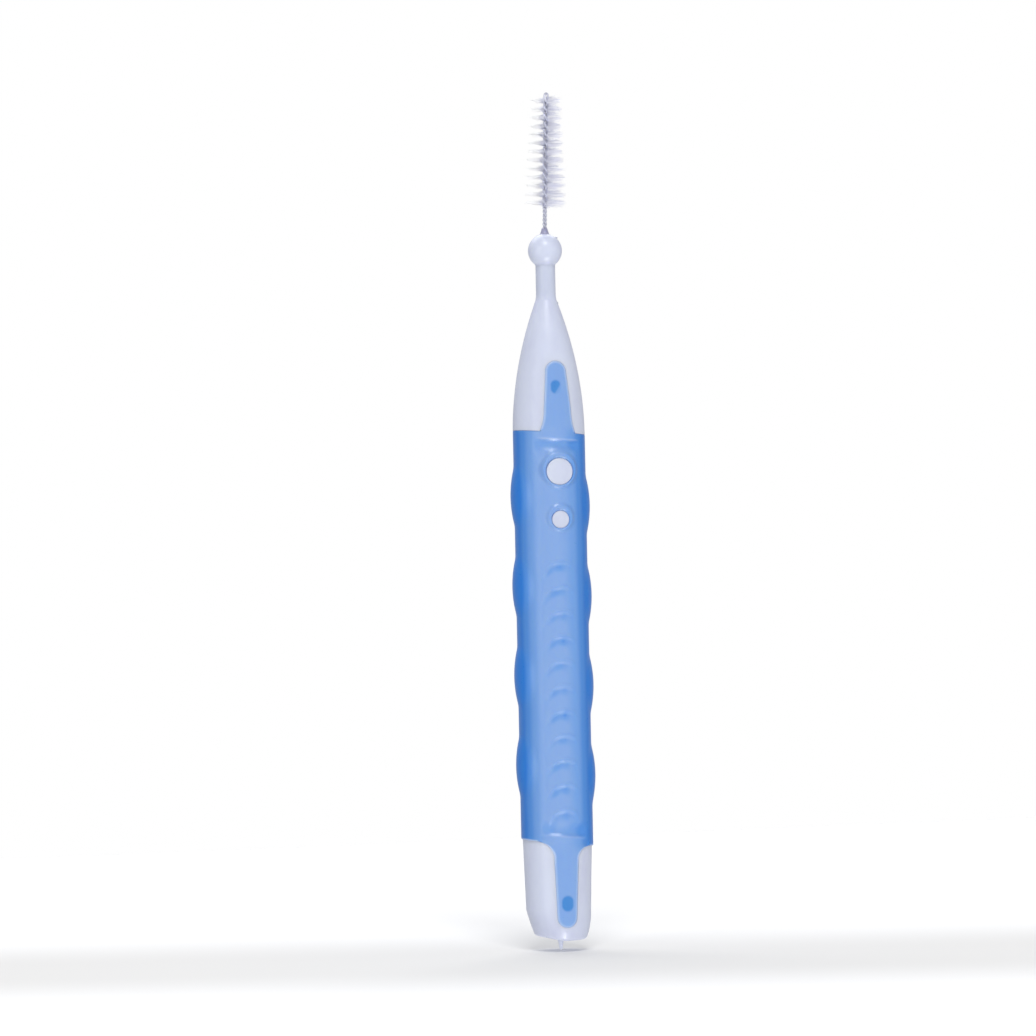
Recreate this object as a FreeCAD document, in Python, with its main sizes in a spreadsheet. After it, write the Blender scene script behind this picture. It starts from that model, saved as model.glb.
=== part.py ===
"""Interdental brush: a two-shot moulded handle with a twisted wire that grips its bristles.

The brush stands upright along Z with the bristles on top. The origin is the middle of the soft grip,
on the axis of the handle, and the face with the pegs looks along -Y. Lengths are in millimetres.
"""
import FreeCAD, Part
import math
import os

import Sketcher

# Driving sizes
SIZES = (
    ("grip_half_length", 21.7, "middle of the grip to either end of the sleeve"),
    ("grip_radius", 3.85, "outside of the soft sleeve"),
    ("sleeve_wall", 0.95, "soft sleeve over the front and the back of the spine"),
    ("sleeve_side_wall", 1.5, "soft sleeve over the flats on both sides of the spine"),
    ("nose_length", 14.4, "sleeve to the foot of the neck"),
    ("nose_fullness", 0.95, "share of the nose's taper that comes late, as on an ogive"),
    ("nose_runs", 7, "straight runs that make up the ogive of the nose"),
    ("neck_radius", 1.05, "slim neck below the ball"),
    ("neck_length", 3.6, "nose to the underside of the ball"),
    ("neck_fillet", 0.5, "hollow between the nose and the neck"),
    ("ball_radius", 1.82, "ball that a travel cap snaps over"),
    ("nipple_root_radius", 0.5, "foot of the nipple round the wire"),
    ("nipple_tip_radius", 0.32, "top of the nipple round the wire"),
    ("nipple_length", 0.6, "nipple above the ball"),
    ("butt_length", 11.2, "sleeve to the end of the butt"),
    ("butt_setback", 0.16, "face of the sleeve down to the butt"),
    ("butt_draft", 0.27, "narrowing of the butt along its drafted stretch"),
    ("butt_draft_length", 9.3, "drafted stretch of the butt"),
    ("butt_end_narrowing", 0.67, "narrowing of the butt along its rounding"),
    ("butt_round_radius", 3.0, "rounding of the butt, seen from the side"),
    ("butt_end_slant", 7.0, "tilt of the end face, in degrees"),
    ("butt_end_chamfer", 0.3, "edge of the end face"),
    ("nib_root_radius", 0.38, "gate mark under the butt, at its foot"),
    ("nib_tip_radius", 0.2, "gate mark under the butt, at its tip"),
    ("nib_length", 0.9, "gate mark below the butt"),
    ("nose_tongue_length", 7.6, "upper tongue of the sleeve"),
    ("nose_tongue_root", 1.95, "half width of the upper tongue at the sleeve"),
    ("nose_tongue_waist", 1.4, "half width of the upper tongue above its flare"),
    ("nose_tongue_tip", 1.08, "half width of the upper tongue at its round end"),
    ("nose_tongue_flare", 2.5, "length of the flare of the upper tongue"),
    ("nose_pocket_depth", 1.55, "face of the sleeve to the floor of the upper pockets"),
    ("nose_slot_half_width", 0.5, "slot through the nose"),
    ("nose_slot_length", 1.45, "slot through the nose"),
    ("nose_slot_rise", 4.8, "sleeve to the middle of the slot in the nose"),
    ("butt_tongue_length", 9.35, "lower tongue of the sleeve"),
    ("butt_tongue_root", 2.75, "half width of the lower tongue at the sleeve"),
    ("butt_tongue_waist", 1.22, "half width of the lower tongue below its flare"),
    ("butt_tongue_tip", 1.05, "half width of the lower tongue at its round end"),
    ("butt_tongue_flare", 1.75, "length of the flare of the lower tongue"),
    ("butt_pocket_depth", 1.35, "face of the sleeve to the floor of the lower pockets"),
    ("butt_slot_half_width", 0.66, "slot through the butt"),
    ("butt_slot_length", 1.7, "slot through the butt"),
    ("butt_slot_drop", 7.0, "sleeve to the middle of the slot in the butt"),
    ("large_peg_radius", 1.43, "large peg of the core"),
    ("large_peg_height", 17.5, "middle of the grip to the large peg"),
    ("small_peg_radius", 0.94, "small peg of the core"),
    ("small_peg_height", 12.4, "middle of the grip to the small peg"),
    ("peg_rise", 0.04, "face of a peg beyond the grip radius"),
    ("peg_chamfer", 0.08, "edge of a peg"),
    ("rim_crest_offset", 0.5, "edge of a peg to the crest of its rim"),
    ("rim_foot_offset", 0.9, "edge of a peg to the foot of its rim"),
    ("rim_rise", 0.12, "crest of a rim beyond the grip radius"),
    ("rim_bury", 0.04, "foot of a rim below the face of the sleeve beside the peg"),
    ("rim_dish", 0.1, "inner edge of a rim below the grip radius"),
    ("bump_count", 4, "finger bumps on each side"),
    ("bump_pitch", 9.6, "one finger bump to the next"),
    ("bump_stagger", 0.48, "row of bumps above the middle on the left, and below it on the right"),
    ("bump_half_length", 3.2, "finger bump along the handle"),
    ("bump_height", 0.44, "finger bump beyond the grip radius"),
    ("bump_swell", 3.0, "radius of a finger bump across the handle"),
    ("bump_sweep", 60, "stretch of ring that makes a finger bump, in degrees"),
    ("bump_spread", 63, "half of the ring's section that is used, in degrees"),
    ("bump_runs", 7, "straight runs that round a finger bump across the handle"),
    ("scale_count", 11, "arched steps on the front"),
    ("scale_first_height", 7.85, "middle of the grip to the top of the first step"),
    ("scale_pitch", 2.63, "one step to the next"),
    ("scale_ramp_length", 2.45, "top of a step down to where its ramp meets the grip radius"),
    ("scale_arch_radius", 2.0, "arch of a step, seen from the front"),
    ("scale_depth", 0.25, "depth of a step at the top of its arch"),
    ("groove_inset", 1.25, "end of the sleeve to the middle of an end groove"),
    ("groove_sweep_radius", 6.0, "sweep of an end groove across the face"),
    ("groove_width", 0.9, "width of an end groove at the face of the sleeve"),
    ("groove_floor", 0.3, "width of an end groove at its floor"),
    ("groove_depth", 0.22, "depth of an end groove"),
    ("strand_radius", 0.115, "steel wire"),
    ("stem_clearance", 0.02, "between the two strands of the bare stem"),
    ("stem_pitch", 0.89, "one full twist of the bare stem"),
    ("stem_half_turns", 15, "half twists of the stem and of its moulded-in tail"),
    ("stem_bare_length", 2.05, "nipple to the first filament"),
    ("wire_clearance", 0.02, "twisted stem to the wall of its bore"),
    ("field_pitch", 1.82, "one full twist where the filaments are caught"),
    ("field_half_turns", 13, "half twists that hold filaments"),
    ("wire_runs_per_half_turn", 4, "straight runs in each half twist of a strand"),
    ("wire_fold_runs", 6, "straight runs round the fold at the tip"),
    ("loop_height", 0.42, "last filament to the middle of the wire's fold"),
    ("strand_sides", 6, "sides of the wire's section"),
    ("filament_radius", 0.043, "nylon filament"),
    ("filament_sides", 4, "sides of a filament's section"),
    ("filament_clearance", 0.012, "filament to the strand beside it"),
    ("filaments_per_half_turn", 10, "filaments in each half twist"),
    ("filament_reach_low", 2.35, "axis to the end of the lowest filament"),
    ("filament_reach_high", 1.6, "axis to the end of the highest filament"),
)

# Heights and radii that several pieces share, worked out from the driving sizes
GRIP_TOP = "sizes.grip_half_length"
GRIP_BOTTOM = "-sizes.grip_half_length"
NOSE_TIP = "(sizes.grip_half_length + sizes.nose_length)"
BALL_SEAT = f"({NOSE_TIP} + sizes.neck_length)"
BALL_CENTRE = f"({BALL_SEAT} + sqrt(sizes.ball_radius ^ 2 - sizes.neck_radius ^ 2))"
BALL_CROWN = f"({BALL_CENTRE} + sqrt(sizes.ball_radius ^ 2 - sizes.nipple_root_radius ^ 2))"
NIPPLE_END = f"({BALL_CENTRE} + sizes.ball_radius + sizes.nipple_length)"
BUTT_END = "(-sizes.grip_half_length - sizes.butt_length)"
BUTT_LOW = "(-sizes.grip_half_length - sizes.butt_draft_length)"
STEM_LENGTH = "(sizes.stem_half_turns * sizes.stem_pitch / 2)"
ANCHOR_DEPTH = f"({STEM_LENGTH} - sizes.stem_bare_length)"
BORE_RADIUS = "(2 * sizes.strand_radius + sizes.stem_clearance + sizes.wire_clearance)"
SPINE_RADIUS = "(sizes.grip_radius - sizes.sleeve_wall)"
SPINE_HALF_WIDTH = "(sizes.grip_radius - sizes.sleeve_side_wall)"
BUTT_TOP_RADIUS = "(sizes.grip_radius - sizes.butt_setback)"
BUTT_LOW_RADIUS = f"({BUTT_TOP_RADIUS} - sizes.butt_draft)"
BUTT_END_RADIUS = f"({BUTT_LOW_RADIUS} - sizes.butt_end_narrowing)"

FRONT = 1
BACK = -1
LEFT_TURN = 1
RIGHT_TURN = -1

doc = FreeCAD.newDocument("interdental_brush")


def fill_sheet():
    """Put every driving size into the spreadsheet under its own name."""
    sheet = doc.addObject("Spreadsheet::Sheet", "sizes")
    for row, (alias, number, note) in enumerate(SIZES, start=1):
        sheet.set(f"A{row}", alias)
        sheet.set(f"B{row}", str(number))
        sheet.set(f"C{row}", note)
        sheet.setAlias(f"B{row}", alias)
    doc.recompute()
    return sheet


sheet = fill_sheet()


def measure(formula):
    """Work out a formula over the sheet as a plain number."""
    return float(sheet.evalExpression(formula.replace("sizes.", "")))


def bind(thing, **formulas):
    """Tie properties of a document object to formulas over the sheet."""
    for name, formula in formulas.items():
        thing.setExpression(name, formula)


def place(thing, axis, formula):
    """Tie one coordinate of an object's place to a formula over the sheet."""
    thing.setExpression(f"Placement.Base.{axis}", formula)


def origin_feature(body, role):
    """Find an origin plane or axis of a body."""
    return next(item for item in body.Origin.OriginFeatures if item.Role == role)


def new_sketch(body, name, role, offset=None):
    """Start a sketch on an origin plane of its body, moved along the plane's normal where asked."""
    sketch = body.newObject("Sketcher::SketchObject", name)
    sketch.AttachmentSupport = [(origin_feature(body, role), "")]
    sketch.MapMode = "FlatFace"
    if offset:
        sketch.setExpression("AttachmentOffset.Base.z", offset)
    return sketch


def pin_coordinate(sketch, side, spot, axis, formula):
    """Hold one coordinate of a sketch point at a formula over the sheet."""
    if formula == "0":
        line = -2 if axis == "X" else -1
        sketch.addConstraint(Sketcher.Constraint("PointOnObject", side, spot, line))
        return
    rule = Sketcher.Constraint(f"Distance{axis}", -1, 1, side, spot, measure(formula))
    index = sketch.addConstraint(rule)
    sketch.setExpression(f"Constraints[{index}]", formula)


def arc_centre(start, end, rule, formula, turn):
    """Work out where the centre of an arc between two corners lies."""
    middle = (start + end) * 0.5
    chord = end - start
    across = FreeCAD.Vector(-chord.y, chord.x, 0).normalize()
    wanted = measure(formula)
    if rule == "Radius":
        return middle + across * turn * math.sqrt(wanted ** 2 - (chord.Length / 2) ** 2)
    if rule == "CentreX":
        return middle + across * ((wanted - middle.x) / across.x)
    return middle + across * ((wanted - middle.y) / across.y)


def sketch_arc(start, end, centre, turn):
    """Make an arc for a sketch, which always runs counter-clockwise."""
    first, last = (start, end) if turn == LEFT_TURN else (end, start)
    circle = Part.Circle(centre, FreeCAD.Vector(0, 0, 1), (start - centre).Length)
    angles = [math.atan2(spot.y - centre.y, spot.x - centre.x) for spot in (first, last)]
    return Part.ArcOfCircle(circle, angles[0], angles[1])


def draw_outline(sketch, corners):
    """Draw a closed outline whose corners and arcs follow the sheet.

    Each corner is (x, y) or (x, y, rule, formula, turn), where the last three describe an arc that
    leaves the corner: its Radius, or one coordinate of its centre, and the way in which it turns.
    """
    spots = [FreeCAD.Vector(measure(corner[0]), measure(corner[1]), 0) for corner in corners]
    ends = []
    for number, corner in enumerate(corners):
        start = spots[number]
        end = spots[(number + 1) % len(spots)]
        if len(corner) == 2:
            side = sketch.addGeometry(Part.LineSegment(start, end), False)
            ends.append((side, 1, 2))
            continue
        rule, formula, turn = corner[2:]
        centre = arc_centre(start, end, rule, formula, turn)
        side = sketch.addGeometry(sketch_arc(start, end, centre, turn), False)
        ends.append((side, 1, 2) if turn == LEFT_TURN else (side, 2, 1))
    for number, (side, tail, head) in enumerate(ends):
        following, following_tail, _ = ends[(number + 1) % len(ends)]
        sketch.addConstraint(Sketcher.Constraint("Coincident", side, head, following, following_tail))
        pin_coordinate(sketch, side, tail, "X", corners[number][0])
        pin_coordinate(sketch, side, tail, "Y", corners[number][1])
    for (side, _, _), corner in zip(ends, corners):
        if len(corner) == 2:
            continue
        rule, formula, _ = corner[2:]
        if rule == "Radius":
            index = sketch.addConstraint(Sketcher.Constraint("Radius", side, measure(formula)))
            sketch.setExpression(f"Constraints[{index}]", formula)
        else:
            pin_coordinate(sketch, side, 3, rule[-1], formula)


def draw_circle(sketch, x, y, radius):
    """Draw a circle whose place and radius follow the sheet."""
    centre = FreeCAD.Vector(measure(x), measure(y), 0)
    side = sketch.addGeometry(Part.Circle(centre, FreeCAD.Vector(0, 0, 1), measure(radius)), False)
    pin_coordinate(sketch, side, 3, "X", x)
    pin_coordinate(sketch, side, 3, "Y", y)
    index = sketch.addConstraint(Sketcher.Constraint("Radius", side, measure(radius)))
    sketch.setExpression(f"Constraints[{index}]", radius)


def draw_axis_line(sketch, start, end):
    """Draw a construction line for a revolution, given its two ends as formulas."""
    spots = [FreeCAD.Vector(measure(x), measure(y), 0) for x, y in (start, end)]
    side = sketch.addGeometry(Part.LineSegment(*spots), True)
    for spot, (x, y) in ((1, start), (2, end)):
        pin_coordinate(sketch, side, spot, "X", x)
        pin_coordinate(sketch, side, spot, "Y", y)


def revolve(body, name, sketch, axis, sweep=None):
    """Turn a sketch round one of its axes and add it to the body.

    Args:
        sweep: formula for the stretch of the turn, half of it to each side of the sketch, or None
            for a full turn.
    """
    feature = body.newObject("PartDesign::Revolution", name)
    feature.Profile = sketch
    feature.ReferenceAxis = (sketch, [axis])
    feature.Angle = 360
    if sweep:
        feature.Midplane = True
        feature.setExpression("Angle", sweep)
    doc.recompute()
    return feature


def cut_through(body, name, sketch):
    """Cut a sketch right through the body, both ways."""
    before = body.Shape.Volume
    feature = body.newObject("PartDesign::Pocket", name)
    feature.Profile = sketch
    feature.Type = "ThroughAll"
    feature.SideType = "Symmetric"
    doc.recompute()
    confirm_cut(body, name, before)
    return feature


def cut_outward(body, name, sketch, face):
    """Cut from the plane of a sketch out through the front or the back of the body."""
    before = body.Shape.Volume
    feature = body.newObject("PartDesign::Pocket", name)
    feature.Profile = sketch
    feature.Type = "ThroughAll"
    feature.Reversed = face == FRONT
    doc.recompute()
    confirm_cut(body, name, before)
    return feature


def confirm_cut(body, name, before):
    """Stop where a cut has taken nothing away."""
    if not body.Shape.Volume < before:
        raise RuntimeError(f"{name} cuts nothing")


def break_edges(body, kind, name, formula, chosen):
    """Round or bevel the edges of a body that a test picks out.

    Args:
        kind: "Fillet" or "Chamfer".
    """
    base = body.Tip
    names = [f"Edge{number}" for number, edge in enumerate(base.Shape.Edges, start=1) if chosen(edge)]
    if not names:
        raise RuntimeError(f"{name} finds no edge")
    feature = body.newObject(f"PartDesign::{kind}", name)
    feature.Base = (base, names)
    feature.setExpression("Radius" if kind == "Fillet" else "Size", formula)
    doc.recompute()
    return feature


# Outlines that the core and the sleeve share
def ogive_corners():
    """Outline of the nose, from the sleeve to just below its tip."""
    corners = []
    for number in range(int(measure("sizes.nose_runs"))):
        share = f"({number} / sizes.nose_runs)"
        late = f"(1 - sizes.nose_fullness * (1 - {share}))"
        radius = f"(sizes.grip_radius - (sizes.grip_radius - sizes.neck_radius) * {share} * {late})"
        corners.append((radius, f"({GRIP_TOP} + sizes.nose_length * {share})"))
    return corners


def nose_corners():
    """Outline of the nose, neck, ball and nipple, from the sleeve up to the axis."""
    return ogive_corners() + [
        ("sizes.neck_radius", NOSE_TIP),
        ("sizes.neck_radius", BALL_SEAT, "CentreX", "0", LEFT_TURN),
        ("sizes.nipple_root_radius", BALL_CROWN),
        ("sizes.nipple_tip_radius", NIPPLE_END),
        ("0", NIPPLE_END),
    ]


def butt_corners():
    """Outline of the butt, from the axis up to the sleeve."""
    return [
        ("0", BUTT_END),
        (BUTT_END_RADIUS, BUTT_END, "Radius", "sizes.butt_round_radius", LEFT_TURN),
        (BUTT_LOW_RADIUS, BUTT_LOW),
        (BUTT_TOP_RADIUS, GRIP_BOTTOM),
    ]


def tongue_side(part, away):
    """Right side of a tongue: flare, straight side and half of the round end.

    Args:
        part: "nose" or "butt".
        away: "" for a tongue that runs up, or "-" for one that runs down.
    """
    root = f"sizes.{part}_tongue_root"
    waist = f"sizes.{part}_tongue_waist"
    tip = f"sizes.{part}_tongue_tip"
    start = f"{away}sizes.grip_half_length"
    flare_end = f"{away}(sizes.grip_half_length + sizes.{part}_tongue_flare)"
    side_end = f"{away}(sizes.grip_half_length + sizes.{part}_tongue_length - {tip})"
    return (root, start), (waist, flare_end), (tip, side_end)


def tongue_corners(part, upward):
    """Closed outline of a tongue, seen from the front."""
    away = "" if upward else "-"
    (root, start), (waist, flare_end), (tip, side_end) = tongue_side(part, away)
    flare_turn = RIGHT_TURN if upward else LEFT_TURN
    end_turn = LEFT_TURN if upward else RIGHT_TURN
    return [
        (root, start, "CentreY", flare_end, flare_turn),
        (waist, flare_end),
        (tip, side_end, "CentreY", side_end, end_turn),
        (f"-{tip}", side_end),
        (f"-{waist}", flare_end, "CentreY", flare_end, flare_turn),
        (f"-{root}", start),
    ]


def surround_corners(part, upward):
    """Closed outline of all that lies round a tongue, beyond the end of the sleeve."""
    far_side = "2 * sizes.grip_radius"
    far_end = f"({NIPPLE_END} + sizes.grip_radius)" if upward else f"({BUTT_END} - sizes.grip_radius)"
    start = GRIP_TOP if upward else GRIP_BOTTOM
    return tongue_corners(part, upward)[:-1] + [
        (f"-sizes.{part}_tongue_root", start),
        (f"-{far_side}", start),
        (f"-{far_side}", far_end),
        (far_side, far_end),
        (far_side, start),
    ]


# The handle core: one rigid moulding under and beyond the sleeve
def slot_corners(part, middle):
    """Round-ended slot through the core, seen from the front."""
    half_width = f"sizes.{part}_slot_half_width"
    straight = f"(sizes.{part}_slot_length / 2 - {half_width})"
    upper = f"({middle} + {straight})"
    lower = f"({middle} - {straight})"
    return [
        (half_width, lower),
        (half_width, upper, "CentreY", upper, LEFT_TURN),
        (f"-{half_width}", upper),
        (f"-{half_width}", lower, "CentreY", lower, LEFT_TURN),
    ]


def cut_spine_flats(core):
    """Flatten both sides of the spine, so that the soft sleeve is thick there."""
    for name, sign in (("spine_flat_left", "-"), ("spine_flat_right", "")):
        near = f"{sign}{SPINE_HALF_WIDTH}"
        far = f"{sign}sizes.grip_radius"
        sketch = new_sketch(core, f"{name}_outline", "XZ_Plane")
        draw_outline(sketch, [(near, GRIP_BOTTOM), (far, GRIP_BOTTOM), (far, GRIP_TOP), (near, GRIP_TOP)])
        cut_through(core, name, sketch)


def cut_tongue_pockets(core):
    """Sink the pockets that the tongues of the sleeve fill, on the front and on the back."""
    for part, upward in (("nose", True), ("butt", False)):
        for side, face in (("front", FRONT), ("back", BACK)):
            offset = f"{face} * (sizes.grip_radius - sizes.{part}_pocket_depth)"
            sketch = new_sketch(core, f"{part}_pocket_{side}_outline", "XZ_Plane", offset)
            draw_outline(sketch, tongue_corners(part, upward))
            cut_outward(core, f"{part}_pocket_{side}", sketch, face)


def cut_key_slots(core):
    """Cut the slots through which the soft material links the front and back tongues."""
    heights = (
        ("nose", "(sizes.grip_half_length + sizes.nose_slot_rise)"),
        ("butt", "(-sizes.grip_half_length - sizes.butt_slot_drop)"),
    )
    for part, middle in heights:
        sketch = new_sketch(core, f"{part}_slot_outline", "XZ_Plane")
        draw_outline(sketch, slot_corners(part, middle))
        cut_through(core, f"{part}_slot", sketch)


def add_pegs(core):
    """Raise the two round pegs through the front of the sleeve."""
    sketch = new_sketch(core, "pegs_outline", "XZ_Plane")
    draw_circle(sketch, "0", "sizes.large_peg_height", "sizes.large_peg_radius")
    draw_circle(sketch, "0", "sizes.small_peg_height", "sizes.small_peg_radius")
    pad = core.newObject("PartDesign::Pad", "pegs")
    pad.Profile = sketch
    pad.setExpression("Length", "sizes.grip_radius + sizes.peg_rise")
    doc.recompute()
    face_distance = measure("sizes.grip_radius + sizes.peg_rise")
    break_edges(
        core, "Chamfer", "peg_edges", "sizes.peg_chamfer",
        lambda edge: abs(edge.BoundBox.YMax + face_distance) < 1e-4,
    )


def slant_butt_end(core):
    """Tilt the end of the butt, round its edge and add the gate mark."""
    reach = BUTT_LOW_RADIUS
    raised = f"({BUTT_END} + 2 * {reach} * tan(sizes.butt_end_slant * 1 deg))"
    sketch = new_sketch(core, "butt_end_outline", "XZ_Plane")
    draw_outline(sketch, [(reach, BUTT_END), (f"-{reach}", raised), (f"-{reach}", BUTT_END)])
    cut_through(core, "butt_end", sketch)
    lowest_side = measure(BUTT_LOW)
    break_edges(
        core, "Chamfer", "butt_end_edge", "sizes.butt_end_chamfer",
        lambda edge: edge.BoundBox.ZMax < lowest_side and edge.BoundBox.XLength > measure(reach),
    )
    middle = f"({BUTT_END} + {reach} * tan(sizes.butt_end_slant * 1 deg))"
    nib_end = f"({middle} - sizes.nib_length)"
    nib_top = f"({middle} + sizes.nib_length)"
    sketch = new_sketch(core, "nib_outline", "XZ_Plane")
    draw_outline(sketch, [
        ("0", nib_end),
        ("sizes.nib_tip_radius", nib_end),
        ("sizes.nib_root_radius", middle),
        ("sizes.nib_root_radius", nib_top),
        ("0", nib_top),
    ])
    revolve(core, "nib", sketch, "V_Axis")


def cut_wire_bore(core):
    """Sink the bore that holds the tail of the wire, down through the nipple and the ball."""
    sketch = new_sketch(core, "wire_bore_outline", "XY_Plane", NIPPLE_END)
    draw_circle(sketch, "0", "0", BORE_RADIUS)
    before = core.Shape.Volume
    bore = core.newObject("PartDesign::Pocket", "wire_bore")
    bore.Profile = sketch
    bore.setExpression("Length", ANCHOR_DEPTH)
    doc.recompute()
    confirm_cut(core, "wire_bore", before)


def build_core():
    """Model the rigid core of the handle."""
    core = doc.addObject("PartDesign::Body", "handle_core")
    sketch = new_sketch(core, "core_outline", "XZ_Plane")
    spine = [(SPINE_RADIUS, GRIP_BOTTOM), (SPINE_RADIUS, GRIP_TOP)]
    draw_outline(sketch, butt_corners() + spine + nose_corners())
    revolve(core, "core_turned", sketch, "V_Axis")
    nose_tip = measure(NOSE_TIP)
    break_edges(
        core, "Fillet", "neck_foot", "sizes.neck_fillet",
        lambda edge: edge.BoundBox.ZLength < 1e-6 and abs(edge.BoundBox.ZMax - nose_tip) < 1e-4,
    )
    slant_butt_end(core)
    cut_spine_flats(core)
    cut_tongue_pockets(core)
    cut_key_slots(core)
    add_pegs(core)
    cut_wire_bore(core)
    return core


# The grip sleeve: soft material over the spine and in the pockets of the core
def bump_corners(sign):
    """Section of a finger bump across the handle, at its crest."""
    corners = []
    for number in range(int(measure("sizes.bump_runs")) + 1):
        turn = f"(sizes.bump_spread * (2 * {number} / sizes.bump_runs - 1) * 1 deg)"
        x = f"{sign}(sizes.grip_radius + sizes.bump_height - sizes.bump_swell * (1 - cos({turn})))"
        corners.append((x, f"(sizes.bump_swell * sin({turn}))"))
    return corners


def add_finger_bumps(form):
    """Swell the sleeve into a row of finger bumps on each side.

    A bump is a short stretch of a ring that lies in the plane of the handle's sides. The ring's
    section gives the bump its roundness across the handle, and its bend the rise along it.
    """
    bend = "((sizes.bump_half_length ^ 2 + sizes.bump_height ^ 2) / (2 * sizes.bump_height))"
    for side, sign, shift in (("right", "", "-"), ("left", "-", "+")):
        first = f"(-(sizes.bump_count - 1) / 2 * sizes.bump_pitch {shift} sizes.bump_stagger)"
        middle = f"{sign}(sizes.grip_radius + sizes.bump_height - {bend})"
        sketch = new_sketch(form, f"bump_{side}_outline", "XY_Plane", first)
        draw_outline(sketch, bump_corners(sign))
        draw_axis_line(sketch, (middle, "-sizes.bump_swell"), (middle, "sizes.bump_swell"))
        bump = revolve(form, f"bump_{side}", sketch, "Axis0", "sizes.bump_sweep")
        row = form.newObject("PartDesign::LinearPattern", f"bump_{side}_row")
        row.Originals = [bump]
        row.Direction = (origin_feature(form, "Z_Axis"), [""])
        bind(row, Length="(sizes.bump_count - 1) * sizes.bump_pitch", Occurrences="sizes.bump_count")
        form.Tip = row
        doc.recompute()


def add_peg_rims(form):
    """Raise a dished rim round each peg."""
    crest = "(sizes.grip_radius + sizes.rim_rise)"
    root = f"-{SPINE_HALF_WIDTH}"
    dish = "-(sizes.grip_radius - sizes.rim_dish)"
    for peg in ("large", "small"):
        radius = f"sizes.{peg}_peg_radius"
        height = f"sizes.{peg}_peg_height"
        foot = f"({height} + {radius} + sizes.rim_foot_offset)"
        beside = f"sqrt(sizes.grip_radius ^ 2 - ({radius} + sizes.rim_foot_offset) ^ 2)"
        sketch = new_sketch(form, f"{peg}_rim_outline", "YZ_Plane")
        draw_outline(sketch, [
            (root, height),
            (root, foot),
            (f"-({beside} - sizes.rim_bury)", foot),
            (f"-{crest}", f"({height} + {radius} + sizes.rim_crest_offset)"),
            (dish, f"({height} + {radius})"),
            (dish, height),
        ])
        draw_axis_line(sketch, (root, height), (dish, height))
        revolve(form, f"{peg}_rim", sketch, "Axis0")


def groove_corners(sign, level):
    """Section of an end groove: a flat floor between two flanks that run on beyond the sleeve."""
    floor = f"{sign}(sizes.grip_radius - sizes.groove_depth)"
    outside = f"{sign}(sizes.grip_radius + sizes.groove_depth)"
    half_floor = "sizes.groove_floor / 2"
    half_outside = "(sizes.groove_width - sizes.groove_floor / 2)"
    return [
        (floor, f"({level} - {half_floor})"),
        (floor, f"({level} + {half_floor})"),
        (outside, f"({level} + {half_outside})"),
        (outside, f"({level} - {half_outside})"),
    ]


def cut_end_grooves(form):
    """Sink a shallow groove across each face near both ends of the sleeve."""
    for end, away in (("upper", ""), ("lower", "-")):
        level = f"{away}(sizes.grip_half_length - sizes.groove_inset)"
        for side, sign, back in (("front", "-", ""), ("back", "", "-")):
            name = f"{end}_groove_{side}"
            middle = f"{back}(sizes.groove_sweep_radius - sizes.grip_radius + sizes.groove_depth)"
            sketch = new_sketch(form, f"{name}_outline", "YZ_Plane")
            draw_outline(sketch, groove_corners(sign, level))
            draw_axis_line(sketch, (middle, GRIP_BOTTOM), (middle, GRIP_TOP))
            before = form.Shape.Volume
            groove = form.newObject("PartDesign::Groove", name)
            groove.Profile = sketch
            groove.ReferenceAxis = (sketch, ["Axis0"])
            groove.Angle = 360
            doc.recompute()
            confirm_cut(form, name, before)


def build_scale_tool(name, number):
    """Make the tool that carves one arched step, deepest under the top of its arch."""
    top = f"(sizes.scale_first_height - {number} * sizes.scale_pitch)"
    top_radius = "(sizes.grip_radius - sizes.scale_depth)"
    rise = "(2 * sizes.scale_arch_radius / sizes.scale_ramp_length * sizes.scale_depth)"
    disc = doc.addObject("Part::Cylinder", f"{name}_disc")
    bind(disc, Radius="sizes.scale_arch_radius", Height="sizes.grip_radius")
    disc.Placement.Rotation = FreeCAD.Rotation(FreeCAD.Vector(1, 0, 0), 90)
    place(disc, "y", f"-{SPINE_HALF_WIDTH}")
    place(disc, "z", f"{top} - sizes.scale_arch_radius")
    ramp = doc.addObject("Part::Cone", f"{name}_ramp")
    bind(ramp, Radius1=f"{top_radius} + {rise}", Radius2=top_radius)
    bind(ramp, Height="2 * sizes.scale_arch_radius")
    place(ramp, "z", f"{top} - 2 * sizes.scale_arch_radius")
    tool = doc.addObject("Part::Cut", f"{name}_tool")
    tool.Base = disc
    tool.Tool = ramp
    return tool


def carve_scales(form):
    """Carve the arched steps into the front of the sleeve's form."""
    carved = form
    for number in range(int(measure("sizes.scale_count"))):
        name = f"scale_{number + 1:02d}"
        step = doc.addObject("Part::Cut", name)
        step.Base = carved
        step.Tool = build_scale_tool(name, number)
        carved = step
    doc.recompute()
    return carved


def build_sleeve(core):
    """Model the soft sleeve as its outer form, carved by the steps and hollowed by the core."""
    form = doc.addObject("PartDesign::Body", "grip_form")
    sketch = new_sketch(form, "form_outline", "XZ_Plane")
    draw_outline(sketch, butt_corners() + [("sizes.grip_radius", GRIP_BOTTOM)] + nose_corners())
    revolve(form, "form_turned", sketch, "V_Axis")
    for part, upward in (("nose", True), ("butt", False)):
        sketch = new_sketch(form, f"{part}_surround", "XZ_Plane")
        draw_outline(sketch, surround_corners(part, upward))
        cut_through(form, f"{part}_tongue", sketch)
    add_finger_bumps(form)
    cut_end_grooves(form)
    add_peg_rims(form)
    sleeve = doc.addObject("Part::Cut", "grip_sleeve")
    sleeve.Base = carve_scales(form)
    sleeve.Tool = core
    doc.recompute()
    return sleeve


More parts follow.
